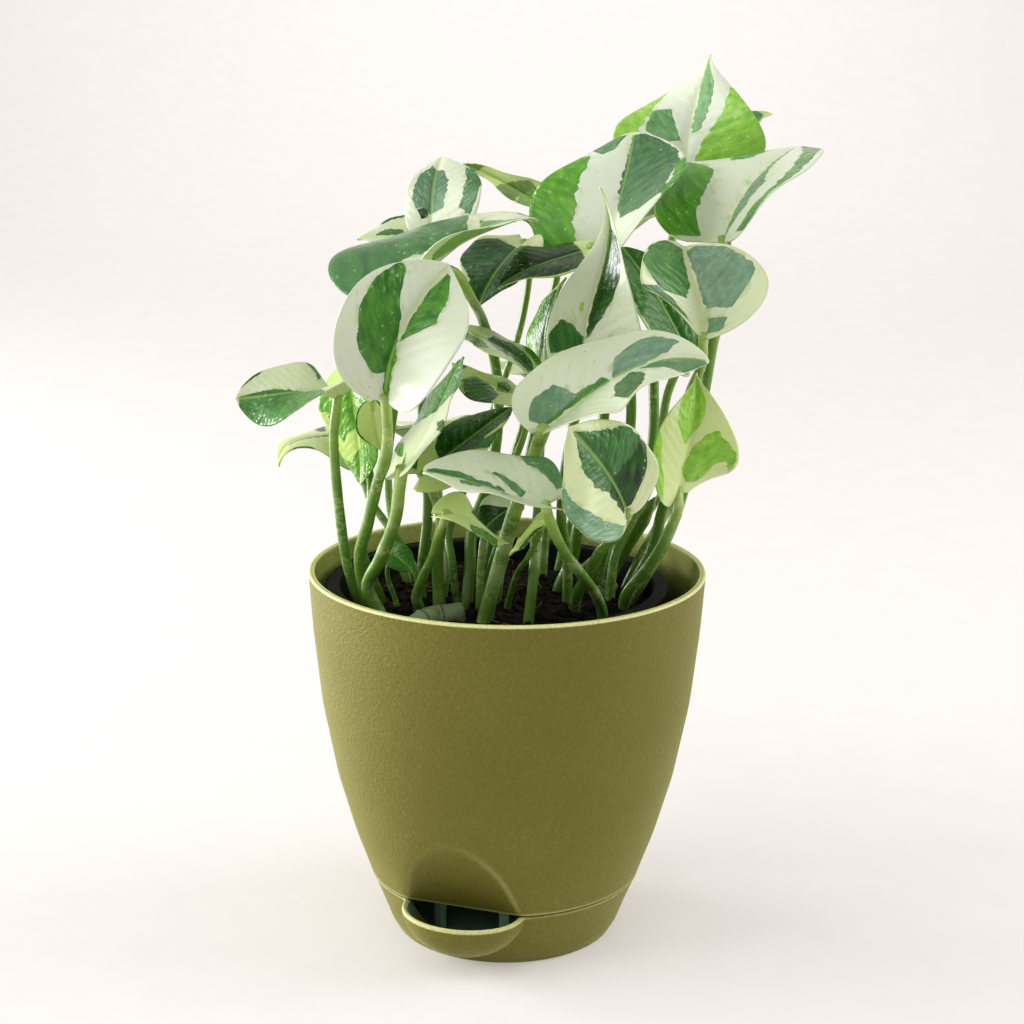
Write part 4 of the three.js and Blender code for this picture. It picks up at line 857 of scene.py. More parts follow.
         radii=(2.3, 2.7), stalk=((8.5, -36, 171.5), (6, -32, 161), (2.5, -28, 151), (-1.5, -24, 135)),
         ground=0.12, patches=(Patch(0.3, ((-0.75, 0.87), (-0.2, 0.8), (0.05, 0.65), (0, 0.47),
           (-0.4, 0.55), (-0.75, 0.72)), 0.8), Patch(0.35, ((-0.55, 0.25), (-0.1, 0.28), (-0.05, 0.02),
           (-0.6, 0.02)), 0.6), Patch(0.32, ((0, 0.98), (1, 0.98), (1, 0.85), (0.5, 0.75), (0.2, 0.62),
           (0.05, 0.75)), 0.3), Patch(0.18, ((0.15, 0.58), (0.5, 0.64), (0.9, 0.6), (0.95, 0.45),
           (0.6, 0.38), (0.35, 0.45)), 0.1), Patch(0.5, ((-0.12, 0.45), (0.02, 0.47), (-0.05, 0.02),
           (-0.15, 0.02)), 0.1))),
    Leaf("leaf_17", base=(36, -54.5, 156), tip=(17.5, -70.5, 186.5), faces=(43, 2), halves=(21.5, 16),
         rise=(0.06, 0.03), sway=(0.06, 0.04), fold=((25, 0), (25, 0)), curl=((0, -20), (-5, -20)), twist=0,
         outline=(0.44, 0.18, 1.06), lobes=(0.02, 0.02), wave=(0.9, 2.5, 0.2), foot=(22, -8),
         radii=(1.6, 2.1), stalk=((34, -36, 145), (29.5, -30, 138.5), (26.5, -20, 128.5), (23, -13, 119.5)),
         ground=0.32, patches=(Patch(0.3, ((-0.29, 0.82), (0, 0.95), (0.25, 0.91), (0.46, 0.82),
           (0.92, 0.61), (1, 0.45), (0.79, 0.38), (0.4, 0.4), (-0.15, 0.3), (-0.33, 0.49),
           (-0.38, 0.7)), 0.1), Patch(0.1, ((-0.15, 0.45), (0.5, 0.42), (0.9, 0.45), (1, 0.38), (0.7, 0.25),
           (0.2, 0.08), (-0.17, 0.07), (-0.2, 0.3))), Patch(0.42, ((-1, 0.75), (-0.88, 0.7), (-0.65, 0.4),
           (-0.55, 0.1), (-0.6, 0.02), (-1, 0.02)), 0.7))),
    Leaf("leaf_18", base=(54, -18, 154), tip=(59, -12, 191.5), faces=(20, 6), halves=(14, 18.5),
         rise=(0.17, 0.05), sway=(-0.08, 0.05), fold=((25, 10), (0, 25)), curl=((-5, -10), (-25, 5)),
         twist=-25, outline=(0.31, 0.32, 1.51), lobes=(0.06, 0.06), wave=(0.7, 1.5, 0.2), foot=(38, -8),
         radii=(1.7, 2), stalk=((53.5, -20, 147.5), (49, -17, 136), (44.5, -14, 127.5), (39, -11, 119)),
         ground=0.5, patches=(Patch(0.95, ((-0.9, 0.8), (-0.5, 0.97), (0.6, 0.98), (0.5, 0.8), (0.05, 0.5),
           (-0.1, 0.4), (-0.5, 0.55))), Patch(0.86, ((0.1, 0.4), (0.3, 0.52), (0.6, 0.58), (0.95, 0.45),
           (0.95, 0.25), (0.75, 0.35), (0.55, 0.3), (0.45, 0.1), (0.1, 0.1), (-0.05, 0.2))), Patch(0.96, (
           (-1, 0.5), (-0.8, 0.4), (-0.7, 0.15), (-0.9, 0.05), (-1, 0.1))))),
    Leaf("leaf_19", base=(11.5, -60, 160), tip=(-25, -59, 170), faces=(48, 69), halves=(13.5, 18.5),
         rise=(0.01, -0.02), sway=(-0.02, 0.14), fold=((30, 10), (25, 10)), curl=((0, -10), (0, -10)),
         twist=0, outline=(0.29, 0.29, 0.7), lobes=(0.13, 0.13), wave=(0.7, 2, 0.4), foot=(31, -16),
         radii=(1.6, 1.9), stalk=((12.5, -55, 155), (17, -44, 142.5), (23, -33, 131.5), (28.5, -22, 121)),
         ground=0.1, patches=(Patch(0.3, ((0.02, 0.97), (0.35, 0.97), (0.25, 0.8), (0.12, 0.6), (0.1, 0.4),
           (0, 0.3)), 0.3), Patch(0.33, ((-0.5, 0.7), (0, 0.72), (0.02, 0.5), (-0.45, 0.55)), 0.35),
           Patch(0.4, ((-0.6, 0.38), (0, 0.35), (0, 0.3), (-0.5, 0.31)), 0.5), Patch(0.38, ((0.02, 0.22),
           (0.42, 0.55), (0.35, 0.38), (0.15, 0.18)), 0.4), Patch(0.33, ((0.65, 0.1), (0.75, 0.3), (1, 0.4),
           (1, 0.02), (0.7, 0.02)), 0.5))),
    Leaf("leaf_20", base=(-27.5, -14, 158.5), tip=(1.5, 1, 177.5), faces=(-30, 55), halves=(13.5, 14.5),
         rise=(-0.01, 0.05), sway=(0.01, 0.04), fold=((20, 5), (15, 20)), curl=((-10, -15), (-15, -5)),
         twist=-15, outline=(0.32, 0.3, 0.97), lobes=(0.16, 0.16), wave=(0.7, 1.5, 0.8), foot=(-22, -7),
         radii=(1.6, 2.3), stalk=((-24, -12, 152), (-21.5, -9, 142), (-22.5, -7, 130), (-22.5, -6, 121)),
         ground=0.55, patches=(Patch(0.14, ((-1, 0.98), (1, 0.98), (1, 0.88), (0.5, 0.6), (0.6, 0.5),
           (0.2, 0.35), (0, 0.2), (-0.35, 0.25), (-0.7, 0.4), (-1, 0.65))), Patch(0.4, ((0.5, 0.55),
           (1, 0.75), (1, 0.55), (0.5, 0.45))), Patch(0.35, ((-1, 0.3), (-0.6, 0.2), (-0.3, 0.02),
           (-1, 0.02))))),
    Leaf("leaf_21", base=(8.5, -9.5, 188.5), tip=(-15.5, 9, 203), faces=(60, 64), halves=(15.5, 11.5),
         rise=(0.13, 0), sway=(0.03, -0.02), fold=((20, 5), (5, 10)), curl=((-5, -15), (-25, -10)),
         twist=-15, outline=(0.42, 0.31, 1.07), lobes=(0.16, 0.16), wave=(0.7, 2, 0), foot=(-6, 2),
         radii=(1.2, 1.6), stalk=((10.5, 4, 178.5), (8.5, 6, 169.5), (5, 4, 152.5), (-1, 2, 136),
           (-5.5, 0, 123)),
         ground=0.35, patches=(Patch(0.15, ((-0.38, 0.5), (-0.08, 0.66), (0.46, 0.68), (0.54, 0.5),
           (0.38, 0.2), (0.13, 0.08), (-0.62, 0.08), (-0.54, 0.29)), 0.15), Patch(0.5, ((-0.9, 0.8),
           (-0.5, 0.85), (-0.4, 0.6), (-0.7, 0.45), (-1, 0.5)), 0.3), Patch(0.6, ((0.65, 0.4), (1, 0.5),
           (1, 0.25), (0.6, 0.2))))),
    Leaf("leaf_22", base=(7, -9.5, 181), tip=(-18.5, 2.5, 191.5), faces=(44, 68), halves=(14.5, 10.5),
         rise=(0.01, 0), sway=(-0.06, -0.04), fold=((15, 0), (0, 0)), curl=((-15, -15), (-25, -15)),
         twist=-10, outline=(0.42, 0.3, 1.2), lobes=(0.15, 0.15), wave=(0.7, 2, 0.8), foot=(-9, -9),
         radii=(1.1, 1.4), stalk=((4.5, -6, 168), (-2, -2, 150.5), (-7, -4, 137.5), (-8.5, -6, 128)),
         ground=0.45, patches=(Patch(0.18, ((-1, 0.55), (-0.6, 0.72), (-0.1, 0.65), (0, 0.5), (-0.5, 0.3),
           (-1, 0.3)), 0.35), Patch(0.4, ((-0.3, 0.35), (0.3, 0.45), (0.6, 0.42), (0.5, 0.3),
           (-0.2, 0.25)), 0.1), Patch(0.35, ((0, 0.95), (1, 0.98), (1, 0.86), (0, 0.83)), 0.3))),
    Leaf("leaf_23", base=(12, 12, 187), tip=(18, 15.5, 217.5), faces=(-72, 13), halves=(11.5, 11.5),
         rise=(0.12, 0.13), sway=(0, 0.01), fold=((15, 10), (10, 20)), curl=((-10, -10), (-15, 0)),
         twist=-10, outline=(0.37, 0.3, 1.32), lobes=(0.14, 0.14), wave=(0.4, 2.5, 0.4), foot=(7, -22),
         radii=(1.4, 1.9), stalk=((11, 12, 177.5), (10.5, 12, 160.5), (10, 0, 146.5), (9, -14, 137),
           (8.5, -20, 127)),
         ground=0.6, patches=(Patch(0.45, ((-0.6, 0.85), (0, 0.85), (0.03, 0.3), (-0.2, 0.1),
           (-0.55, 0.3))), Patch(0.72, ((-1, 0.7), (-0.6, 0.85), (-0.6, 0.2), (-1, 0.2))), Patch(0.22, (
           (0.03, 0.9), (0.9, 0.9), (0.9, 0.05), (0.03, 0.1))))),
    Leaf("leaf_24", base=(4.5, 30, 227), tip=(-10, 12.5, 208), faces=(-25, 49), halves=(11.5, 15),
         rise=(0.09, 0.09), sway=(0, 0.05), fold=((15, 10), (10, 20)), curl=((-10, -10), (-20, -5)),
         twist=-10, outline=(0.4, 0.29, 1.14), lobes=(0.13, 0.13), wave=(0.7, 2.5, 0.2), foot=(-16.5, -2),
         radii=(1.1, 1.4), stalk=((6.5, 26, 218), (3.5, 28, 198), (-4, 27, 174.5), (-12, 18, 152.5),
           (-19, 4, 135.5), (-18, -2, 126)),
         ground=0.3, patches=(Patch(0.12, ((-1, 1), (1, 1), (1, 0.85), (0.7, 0.75), (1, 0.6), (1, 0.3),
           (0.7, 0.15), (-0.4, 0.12), (-1, 0.2)), 0.2),)),
    Leaf("leaf_25", base=(26, 11.5, 227.5), tip=(-3.5, -3, 216.5), faces=(-24, 66), halves=(13, 13),
         rise=(0.03, 0.11), sway=(-0.03, 0.01), fold=((10, 15), (0, 15)), curl=((-20, -5), (-25, -5)),
         twist=-5, outline=(0.37, 0.3, 1.16), lobes=(0.14, 0.14), wave=(0.7, 2, 0.6), foot=(17, 12),
         radii=(1.5, 2.1), stalk=((30.5, 22, 212.5), (32, 16, 183.5), (30, 12, 161), (25.5, 10, 144.5),
           (23, 10, 133.5), (22, 11, 125)),
         ground=0.6, patches=(Patch(0.04, ((-1, 1), (1, 1), (1, 0.12), (0, 0.1), (-0.9, 0.3))),)),
    Leaf("leaf_26", base=(-29, 34, 227.5), tip=(-50.5, 30, 227.5), faces=(11, 55), halves=(8.5, 9),
         rise=(0.05, 0.04), sway=(-0.05, 0.01), fold=((15, 15), (25, 0)), curl=((-10, -5), (-5, -15)),
         twist=10, outline=(0.3, 0.3, 1.35), lobes=(0.16, 0.16), wave=(0.4, 2.5, 0.4), foot=(-21, 4),
         radii=(1, 1.4), stalk=((-30, 28, 211), (-30.5, 26, 181), (-26, 20, 151.5), (-21, 10, 133.5),
           (-20, 6, 123.5)),
         ground=0.2, patches=(Patch(0.35, ((0.1, 0.75), (0.4, 0.6), (0.3, 0.3), (0.05, 0.3)), 0.3),
           Patch(0.2, ((0.85, 0.62), (1, 0.65), (1, 0.2), (0.9, 0.2)), 0.1), Patch(0.22, ((-1, 0.8),
           (-0.5, 0.6), (-0.6, 0.3), (-1, 0.3)), 0.1))),
    Leaf("leaf_28", base=(-19, -40, 152), tip=(0.5, -33.5, 141.5), faces=(72, 57), halves=(11, 10),
         rise=(0.26, -0.11), sway=(0.06, -0.02), fold=((20, -10), (20, 0)), curl=((0, -20), (-5, -20)),
         twist=-5, outline=(0.39, 0.1, 1.19), lobes=(0.19, 0.19), wave=(0.4, 2, 0.6), foot=(-28, -14),
         radii=(1.3, 2.1), stalk=((-20, -38, 148.5), (-22, -34, 142), (-23.5, -30, 135.5),
           (-26.5, -24, 127.5), (-29, -18, 119)),
         ground=0.55, patches=(Patch(0.1, ((-1, 0.85), (-0.5, 0.85), (-0.2, 0.5), (-0.3, 0.35),
           (-1, 0.55))), Patch(0.52, ((0.2, 0.8), (1, 0.8), (1, 0.3), (0.6, 0.3), (0.1, 0.65))))),
    Leaf("leaf_29", base=(2, -12, 147), tip=(-9.5, -17, 139), faces=(-21, 48), halves=(7, 8),
         rise=(0.14, 0.1), sway=(0.02, -0.03), fold=((30, 15), (25, 10)), curl=((-10, -15), (-15, -10)),
         twist=-10, outline=(0.36, 0.3, 1.1), lobes=(0.16, 0.16), wave=(0.4, 1.5, 0.2), foot=(-3, -3),
         radii=(0.9, 1.2), stalk=((-0.5, -8, 133.5),),
         ground=0.15, patches=(
             Patch(0.07, ((-1, 1), (1, 1), (1, 0.55), (0.4, 0.3), (0.1, 0.1), (-1, 0.1))),)),
    Leaf("leaf_30", base=(12, -34, 150), tip=(0.5, -34.5, 138), faces=(-75, 43), halves=(6.5, 6),
         rise=(0.03, -0.02), sway=(-0.02, -0.03), fold=((15, 5), (10, 0)), curl=((-10, -10), (-20, -15)),
         twist=0, outline=(0.36, 0.3, 1.22), lobes=(0.16, 0.16), wave=(0.4, 2, 0.4), foot=(0, -9),
         radii=(0.9, 1.2), stalk=((10, -30, 143), (6.5, -26, 134.5), (3, -17, 126)),
         ground=0.7, patches=(Patch(0.3, ((-1, 0.8), (-0.6, 0.7), (-0.5, 0.3), (-1, 0.2))), Patch(0.15, (
           (0.6, 0.65), (1, 0.7), (1, 0.5), (0.7, 0.5))))),
    Leaf("leaf_31", base=(-37.5, -8, 130.5), tip=(-30.5, -13, 125.5), faces=(7, 49), halves=(5, 5.5),
         rise=(0.14, 0.1), sway=(0.02, -0.03), fold=((30, 15), (25, 10)), curl=((-10, -15), (-15, -10)),
         twist=-10, outline=(0.36, 0.3, 1.1), lobes=(0.16, 0.16), wave=(0.4, 1.5, 0), foot=(-36, -6),
         radii=(0.8, 1.1), stalk=((-39, -6, 122.5),),
         ground=0.5, patches=(Patch(0.45, ((-1, 0), (-1, 1), (1, 1), (1, 0))),)),
    Leaf("leaf_back_1", base=(-34, 52, 204), tip=(-44, 86, 186), faces=(-161, 63), halves=(18, 17),
         rise=(0.14, 0.2), sway=(0.02, -0.03), fold=((20, 5), (25, 10)), curl=((-30, -15), (-25, -20)),
         twist=10, outline=(0.36, 0.3, 1.1), lobes=(0.16, 0.16), wave=(0.7, 1.5, 0.6), foot=(-34, 24),
         radii=(1.3, 1.8), stalk=((-41, 48, 155.5), (-41.5, 42, 140.5), (-39.5, 32, 127.5),
           (-37.5, 27, 119.5)),
         ground=0.12, patches=(Patch(0.25, ((-0.9, 0.75), (-0.4, 0.8), (-0.05, 0.5), (0, 0.15), (-0.5, 0.2),
           (-0.9, 0.4)), 0.3), Patch(0.4, ((0.1, 0.9), (0.5, 0.85), (0.7, 0.55), (0.2, 0.35),
           (0.05, 0.5)), 0.2))),
    Leaf("leaf_back_2", base=(-26, 52, 160), tip=(-30, 82, 140), faces=(-179, 56), halves=(14, 15),
         rise=(0.14, 0.2), sway=(0.02, -0.03), fold=((20, 5), (25, 10)), curl=((-30, -15), (-25, -20)),
         twist=10, outline=(0.36, 0.3, 1.1), lobes=(0.16, 0.16), wave=(0.7, 2.5, 0.4), foot=(-23, 32),
         radii=(1.3, 1.8), stalk=((-25, 48, 145), (-23.5, 42, 132), (-23, 36, 121.5)),
         ground=0.2, patches=(Patch(0.35, ((-1, 0.9), (-0.2, 0.95), (0, 0.6), (-0.3, 0.45),
           (-1, 0.5)), 0.2), Patch(0.2, ((0.1, 0.6), (0.6, 0.7), (1, 0.5), (0.9, 0.2), (0.3, 0.1),
           (0.05, 0.2)), 0.4))),
    Leaf("leaf_back_3", base=(35, 62, 234), tip=(41, 98, 220), faces=(168, 69), halves=(19, 18),
         rise=(0.14, 0.2), sway=(0.02, -0.03), fold=((20, 5), (25, 10)), curl=((-30, -15), (-25, -20)),
         twist=10, outline=(0.36, 0.3, 1.1), lobes=(0.16, 0.16), wave=(0.9, 2.5, 0.8), foot=(18, 40),
         radii=(1.3, 1.8), stalk=((32.5, 56, 203.5), (33.5, 52, 176.5), (30.5, 48, 152.5), (23, 44, 132)),
         ground=0.1, patches=(Patch(0.22, ((0.05, 0.85), (0.5, 0.9), (0.9, 0.6), (0.8, 0.3), (0.3, 0.1),
           (0.05, 0.3)), 0.1), Patch(0.45, ((-0.9, 0.5), (-0.5, 0.6), (-0.2, 0.3), (-0.4, 0.08),
           (-0.9, 0.2)), 0.3))),
    Leaf("leaf_back_4", base=(10, 50, 180), tip=(12, 82, 168), faces=(173, 69), halves=(16, 15),
         rise=(0.14, 0.2), sway=(0.02, -0.03), fold=((20, 5), (25, 10)), curl=((-30, -15), (-25, -20)),
         twist=10, outline=(0.36, 0.3, 1.1), lobes=(0.16, 0.16), wave=(0.7, 2.5, 0.6), foot=(12, 31),
         radii=(1.3, 1.8), stalk=((9.5, 46, 160), (11.5, 42, 143), (13, 36, 130.5)),
         ground=0.25, patches=(Patch(0.3, ((-0.8, 0.8), (-0.1, 0.9), (0.3, 0.7), (0.4, 0.4), (0, 0.15),
           (-0.5, 0.3)), 0.4), Patch(0.5, ((0.6, 0.5), (1, 0.5), (1, 0.1), (0.7, 0.05))))),
    Leaf("leaf_back_5", base=(64, 62, 206), tip=(70, 92, 190), faces=(143, 60), halves=(16, 17),
         rise=(0.14, 0.2), sway=(0.02, -0.03), fold=((20, 5), (25, 10)), curl=((-30, -15), (-25, -20)),
         twist=10, outline=(0.36, 0.3, 1.1), lobes=(0.16, 0.16), wave=(0.7, 2.5, 0.4), foot=(39.5, 14),
         radii=(1.3, 1.8), stalk=((69, 60, 168), (66.5, 46, 157), (59.5, 28, 145), (48.5, 17, 130.5)),
         ground=0.1, patches=(Patch(0.28, ((-1, 0.95), (-0.3, 0.9), (0, 0.5), (-0.2, 0.1), (-0.9, 0.1),
           (-0.7, 0.5)), 0.2), Patch(0.4, ((0.15, 0.45), (0.5, 0.7), (0.85, 0.55), (0.6, 0.2),
           (0.2, 0.15)), 0.5))),
)


@dataclass(frozen=True)
class BladeFinish:
    """The variegated, quilted and waxy surface of the blades.

    streaks, clouds, flecks and puffs say how often these patterns change along the veins and across a half.
    """

    deep: tuple = srgb(18, 52, 12)
    dark: tuple = srgb(50, 112, 32)
    green: tuple = srgb(96, 158, 48)
    lime: tuple = srgb(158, 208, 72)
    white: tuple = srgb(212, 219, 202)
    grey: tuple = srgb(150, 178, 158)
    cream: tuple = srgb(206, 217, 168)
    yellow: tuple = srgb(200, 220, 132)
    light_green: tuple = srgb(162, 198, 88)
    brown: tuple = srgb(120, 96, 52)
    thirds: tuple = (0.0, 0.33, 0.66, 1.0)
    streaks: Pair = (34.0, 4.0)
    clouds: Pair = (14.0, 5.0)
    flecks: Pair = (30.0, 7.0)
    puffs: Pair = (20.0, 6.0)
    coat: float = 0.4
    coat_below: float = 0.1
    coat_roughness: float = 0.26
    specular: float = 0.32
    relief: float = 0.0009

    def build(self) -> bpy.types.Material:
        """The blades' material, whose patches are the paint field with ragged edges.

        The patterns lie in the blade's own coordinates: along its veins (q), across its half (s) and with a
        number of its own, so that no two leaves are alike.
        """
        g = Graph("pothos_blade")
        field_here, tone, ground = g.attribute("paint")
        q, s, inner = g.attribute("place")
        face, greyness, own = g.attribute("face")
        place = g.place()

        def drawn_out(often: Pair, offset: float = 0.0) -> bpy.types.NodeSocket:
            """The blade's own coordinates, scaled along the veins and across the half."""
            return g.point(q * often[0], s * often[1], own + offset)

        streaks = g.noise(drawn_out(self.streaks), 1.0, 2.0)
        clouds = g.noise(drawn_out(self.clouds), 1.0, 1.0)
        fine = g.noise(place, 900.0, 1.0)
        field_now = field_here + (streaks - 0.5) * 0.018 + (fine - 0.5) * 0.006
        patch = field_now.step(-0.002, 0.005)
        veil = field_now.step(-0.05, 0.0) * clouds.step(0.5, 0.66) * 0.5
        shade = tone + (clouds - 0.5) * 0.5 + (streaks - 0.5) * 0.08 + (fine - 0.5) * 0.03
        greens = g.ramp(shade, tuple(zip(self.thirds, (self.deep, self.dark, self.green, self.lime))))
        green = g.blend(greyness * (0.45 + clouds * 0.5), greens, self.grey)
        pales = (self.white, self.cream, self.yellow, self.light_green)
        wash = ground + (clouds - 0.5) * 0.28 + (streaks - 0.5) * 0.08 + (fine - 0.5) * 0.03
        pale = g.ramp(wash, tuple(zip(self.thirds, pales)))
        mist = g.blend(0.45, greens, self.cream)
        color = g.blend(veil, pale, mist)
        fleck = g.noise(drawn_out(self.flecks, 3.0), 1.0, 1.0).step(0.69, 0.73)
        color = g.blend(fleck * 0.4, color, self.light_green)
        color = g.blend(patch, color, green)
        between = (q * SIDE_VEINS).math("FRACT")
        rib = (between - 0.5).math("ABSOLUTE") * 2.0
        vein_line = rib.step(0.88, 1.0) * inner.step(0.5, 2.0) * (0.06 + patch * 0.2)
        color = g.blend(vein_line, color, g.blend(patch, self.yellow, self.green))
        midrib = 1.0 - inner.step(0.25, 0.75)
        color = g.blend(midrib * 0.5, color, g.blend(patch * 0.5, self.yellow, self.green))
        specks = 1.0 - g.cells(place, 260.0).step(0.06, 0.11)
        sparse = g.noise(place, 90.0, 1.0).step(0.6, 0.66)
        color = g.blend(specks * sparse * 0.5, color, self.brown)
        below = 1.0 - face.step(-0.5, 0.5)
        color = g.blend(below * 0.35, color, self.light_green)
        # Water drops: raised by the bump and glossier, and the white blended in at them is a painted glint.
        drop = (1.0 - g.cells(place, 380.0).step(0.12, 0.26)) * (clouds + streaks).step(0.95, 1.1) * patch
        color = g.blend(drop * 0.4, color, self.white)
        puff = g.cells(drawn_out(self.puffs), 1.0, 0.75)
        quilt = (1.0 - rib * rib) * 0.12 + (1.0 - puff) * 0.6 + clouds * 0.25 + fine * 0.03
        puffed = 0.15 + patch * (0.9 - (tone - 0.5).math("ABSOLUTE") * 1.8)
        normal = g.bump(quilt * inner.step(0.2, 2.5) * puffed + drop * 0.3, self.relief)
        rough = 0.27 + below * 0.25 + (fine - 0.5) * 0.12 + (1.0 - patch) * 0.08 - drop * 0.2
        coat = self.coat - below * (self.coat - self.coat_below)
        return g.dress(Base_Color=color, Roughness=rough, Coat_Weight=coat, Normal=normal,
                       Coat_Roughness=self.coat_roughness, Specular_IOR_Level=self.specular)


@dataclass(frozen=True)
class StalkFinish:
    """The smooth green stalks, paler at the head and browner at the foot."""

    head: tuple = srgb(156, 182, 92)
    middle: tuple = srgb(104, 144, 56)
    foot: tuple = srgb(92, 112, 44)
    brown: tuple = srgb(134, 98, 52)
    pale: tuple = srgb(206, 214, 168)

    def build(self) -> bpy.types.Material:
        """The stalks' material: colour along the length, with streaks drawn out along it."""
        g = Graph("pothos_stalk")
        u, ground, own = g.attribute("stalk")
        place = g.place()
        shift = g.noise(g.point(u * 9.0, own, 0.0), 1.0, 1.0)
        grain = g.noise(place, 700.0, 1.0)
        stops = ((0.0, self.head), (0.35, self.middle), (0.8, self.middle), (1.0, self.foot))
        color = g.ramp((u + (shift - 0.5) * 0.4).math("ADD", 0.0, clamp=True), stops)
        streak = g.noise(g.point(u * 5.0, own + 7.0, grain * 1.5), 1.6, 2.0).step(0.52, 0.66)
        color = g.blend(streak * 0.4, color, self.pale)
        spots = g.noise(place, 330.0, 2.0).step(0.64, 0.72) * (0.25 + u * 0.5)
        color = g.blend(spots, color, self.brown)
        normal = g.bump(grain * 0.5 + shift * 0.5, 0.0003)
        return g.dress(Base_Color=color, Roughness=0.36 + grain * 0.2, Coat_Weight=0.35, Normal=normal)


@dataclass(frozen=True)
class PotFinish:
    """The matte moulded plastic of the pot and its reservoir, with painted highlights on its edges and
    painted shade on its inner sides.
    """

    body: tuple = srgb(116, 112, 38)
    darker: tuple = srgb(98, 94, 26)
    lighter: tuple = srgb(146, 144, 68)
    # inside is painted light: the inner wall near the rim is drawn in this lighter colour as if lit, while
    # the inner sides lower down take the darker colour as painted shade.
    inside: tuple = srgb(178, 180, 104)
    # edge is the colour of the painted highlights on the rim, the recess's edge and the lip, and of the
    # specks.
    edge: tuple = srgb(224, 226, 164)
    teal: tuple = srgb(140, 172, 150)

    def build(self) -> bpy.types.Material:
        """The pot's material, with painted light and lining read from the mesh: a painted highlight on the
        edges, painted shade on the inner sides, and the teal lip.
        """
        g = Graph("pot_plastic")
        bright, inner, teal = g.attribute("painted_light_and_lining")
        place = g.place()
        place_z = g.value("ShaderNodeSeparateXYZ", {}, [place], "Z")
        clouds = g.noise(place, 16.0, 2.0)
        mottle = g.noise(place, 1100.0, 2.0, 0.6)
        specks = 1.0 - g.cells(place, 640.0).step(0.1, 0.2)
        thin_out = g.noise(place, 120.0, 1.0).step(0.5, 0.62)
        stops = ((0.2, self.darker), (0.5, self.body), (0.85, self.lighter))
        color = g.ramp((clouds - 0.5) * 0.3 + (mottle - 0.5) * 0.45 + 0.5, stops)
        color = g.blend(specks * thin_out * 0.1, color, self.edge)
        # Painted shade and light: the inner sides and the recess are darker below 104 mm, and above 120 mm,
        # near the rim, they turn to the lighter inside colour.
        deep = place_z.step(0.104, 0.12)
        color = g.blend(inner, color, g.blend(deep, self.darker, self.inside))
        color = g.blend(teal * (0.75 + mottle * 0.4), color, self.teal)
        # Painted highlight: the bright edges of the rim, the recess and the lip are painted in the edge
        # colour.
        painted_highlight = (bright * (0.55 + mottle * 0.9)).math("MINIMUM", 1.0)
        color = g.blend(painted_highlight, color, self.edge)
        waves = g.noise(place, 1000.0, 2.0, 0.65)
        normal = g.bump(waves * 0.8 + mottle * 0.4, 0.00042)
        return g.dress(Base_Color=color, Roughness=0.5 + mottle * 0.22, Normal=normal,
                       Specular_IOR_Level=0.5, Sheen_Weight=0.45, Sheen_Roughness=0.3,
                       Sheen_Tint=self.edge)


@dataclass(frozen=True)
class PlainFinish:
    """A speckled plastic, soil or old stem: two colours mixed by noise, with specks and a bumpy surface."""

    name: str
    first: tuple
    second: tuple
    speck: tuple
    size: float
    roughness: float
    relief: float
    speck_share: float = 0.5

    def build(self) -> bpy.types.Material:
        """The material, whose patterns are all in Object coordinates."""
        g = Graph(self.name)
        place = g.place()
        clouds = g.noise(place, self.size, 2.0, 0.6)
        grain = g.noise(place, self.size * 6.0, 1.0)
        color = g.blend(clouds.step(0.3, 0.7), self.first, self.second)
        dots = 1.0 - g.cells(place, self.size * 3.0).step(0.12, 0.3)
        color = g.blend(dots * grain.step(0.5, 0.6) * self.speck_share, color, self.speck)
        normal = g.bump(clouds * 0.6 + grain * 0.4, self.relief)
        rough = self.roughness + (grain - 0.5) * 0.2
        return g.dress(Base_Color=color, Roughness=rough, Normal=normal, Specular_IOR_Level=0.3)


@dataclass(frozen=True)
class BarkFinish:
    """The greyish green skin of old stem, brown at its scars and its cut ends."""

    skin: tuple = srgb(128, 142, 108)
    streak: tuple = srgb(88, 106, 70)
    scar: tuple = srgb(84, 58, 34)

    def build(self) -> bpy.types.Material:
        """The material: streaks along the stem, and rings where the mesh marks a scar."""
        g = Graph("old_stem")
        scar, u, _ = g.attribute("bark")
        place = g.place()
        clouds = g.noise(place, 150.0, 2.0)
        grain = g.noise(place, 900.0, 1.0)
        color = g.blend(clouds.step(0.4, 0.65), self.skin, self.streak)
        color = g.blend((scar + (clouds - 0.5) * 0.5).step(0.3, 0.8) * 0.85, color, self.scar)
        normal = g.bump(clouds * 0.6 + grain * 0.4, 0.0005)
        return g.dress(Base_Color=color, Roughness=0.5 + grain * 0.2, Normal=normal)


def ring(radius: Array | float, z: Array | float, turn: Array, x: float = 0.0) -> Array:
    """Points about a vertical axis at x, one for each bearing, (columns, 3)."""
    radius = radius + 0 * turn
    return np.stack([x + radius * np.cos(turn), radius * np.sin(turn), z + 0 * turn], axis=-1)


class RingStack:
    """Rings about the pot's axis, from one end of a skin to the other, with their painted highlight, painted
    shade and teal lining.
    """

    def __init__(self, turn: Array) -> None:
        """Starts with no rings, for columns at the given bearings."""
        self.turn = turn
        self.rings: list[Array] = []
        self.painted_light_and_lining: list[Array] = []

    def add(self, radius: Array | float, z: float, bright: Array | float = 0.0,
            inner: Array | float = 0.0, teal: Array | float = 0.0) -> None:
        """Adds one ring.

        Args:
            radius: its radii.
            z: its height.
            bright: how much painted highlight its edge carries.
            inner: how much it is shaded as an inner side.
            teal: how much of the basket's light plastic lines it.
        """
        self.rings.append(ring(radius, z, self.turn))
        self.painted_light_and_lining.append(np.stack(np.broadcast_arrays(bright, inner, teal, self.turn)[:3], axis=-1))

    def skin(self, material: bpy.types.Material) -> Skin:
        """The closed skin over the rings."""
        return Skin(np.stack(self.rings), material, Ends.FLAT, {"painted_light_and_lining": np.stack(self.painted_light_and_lining)})


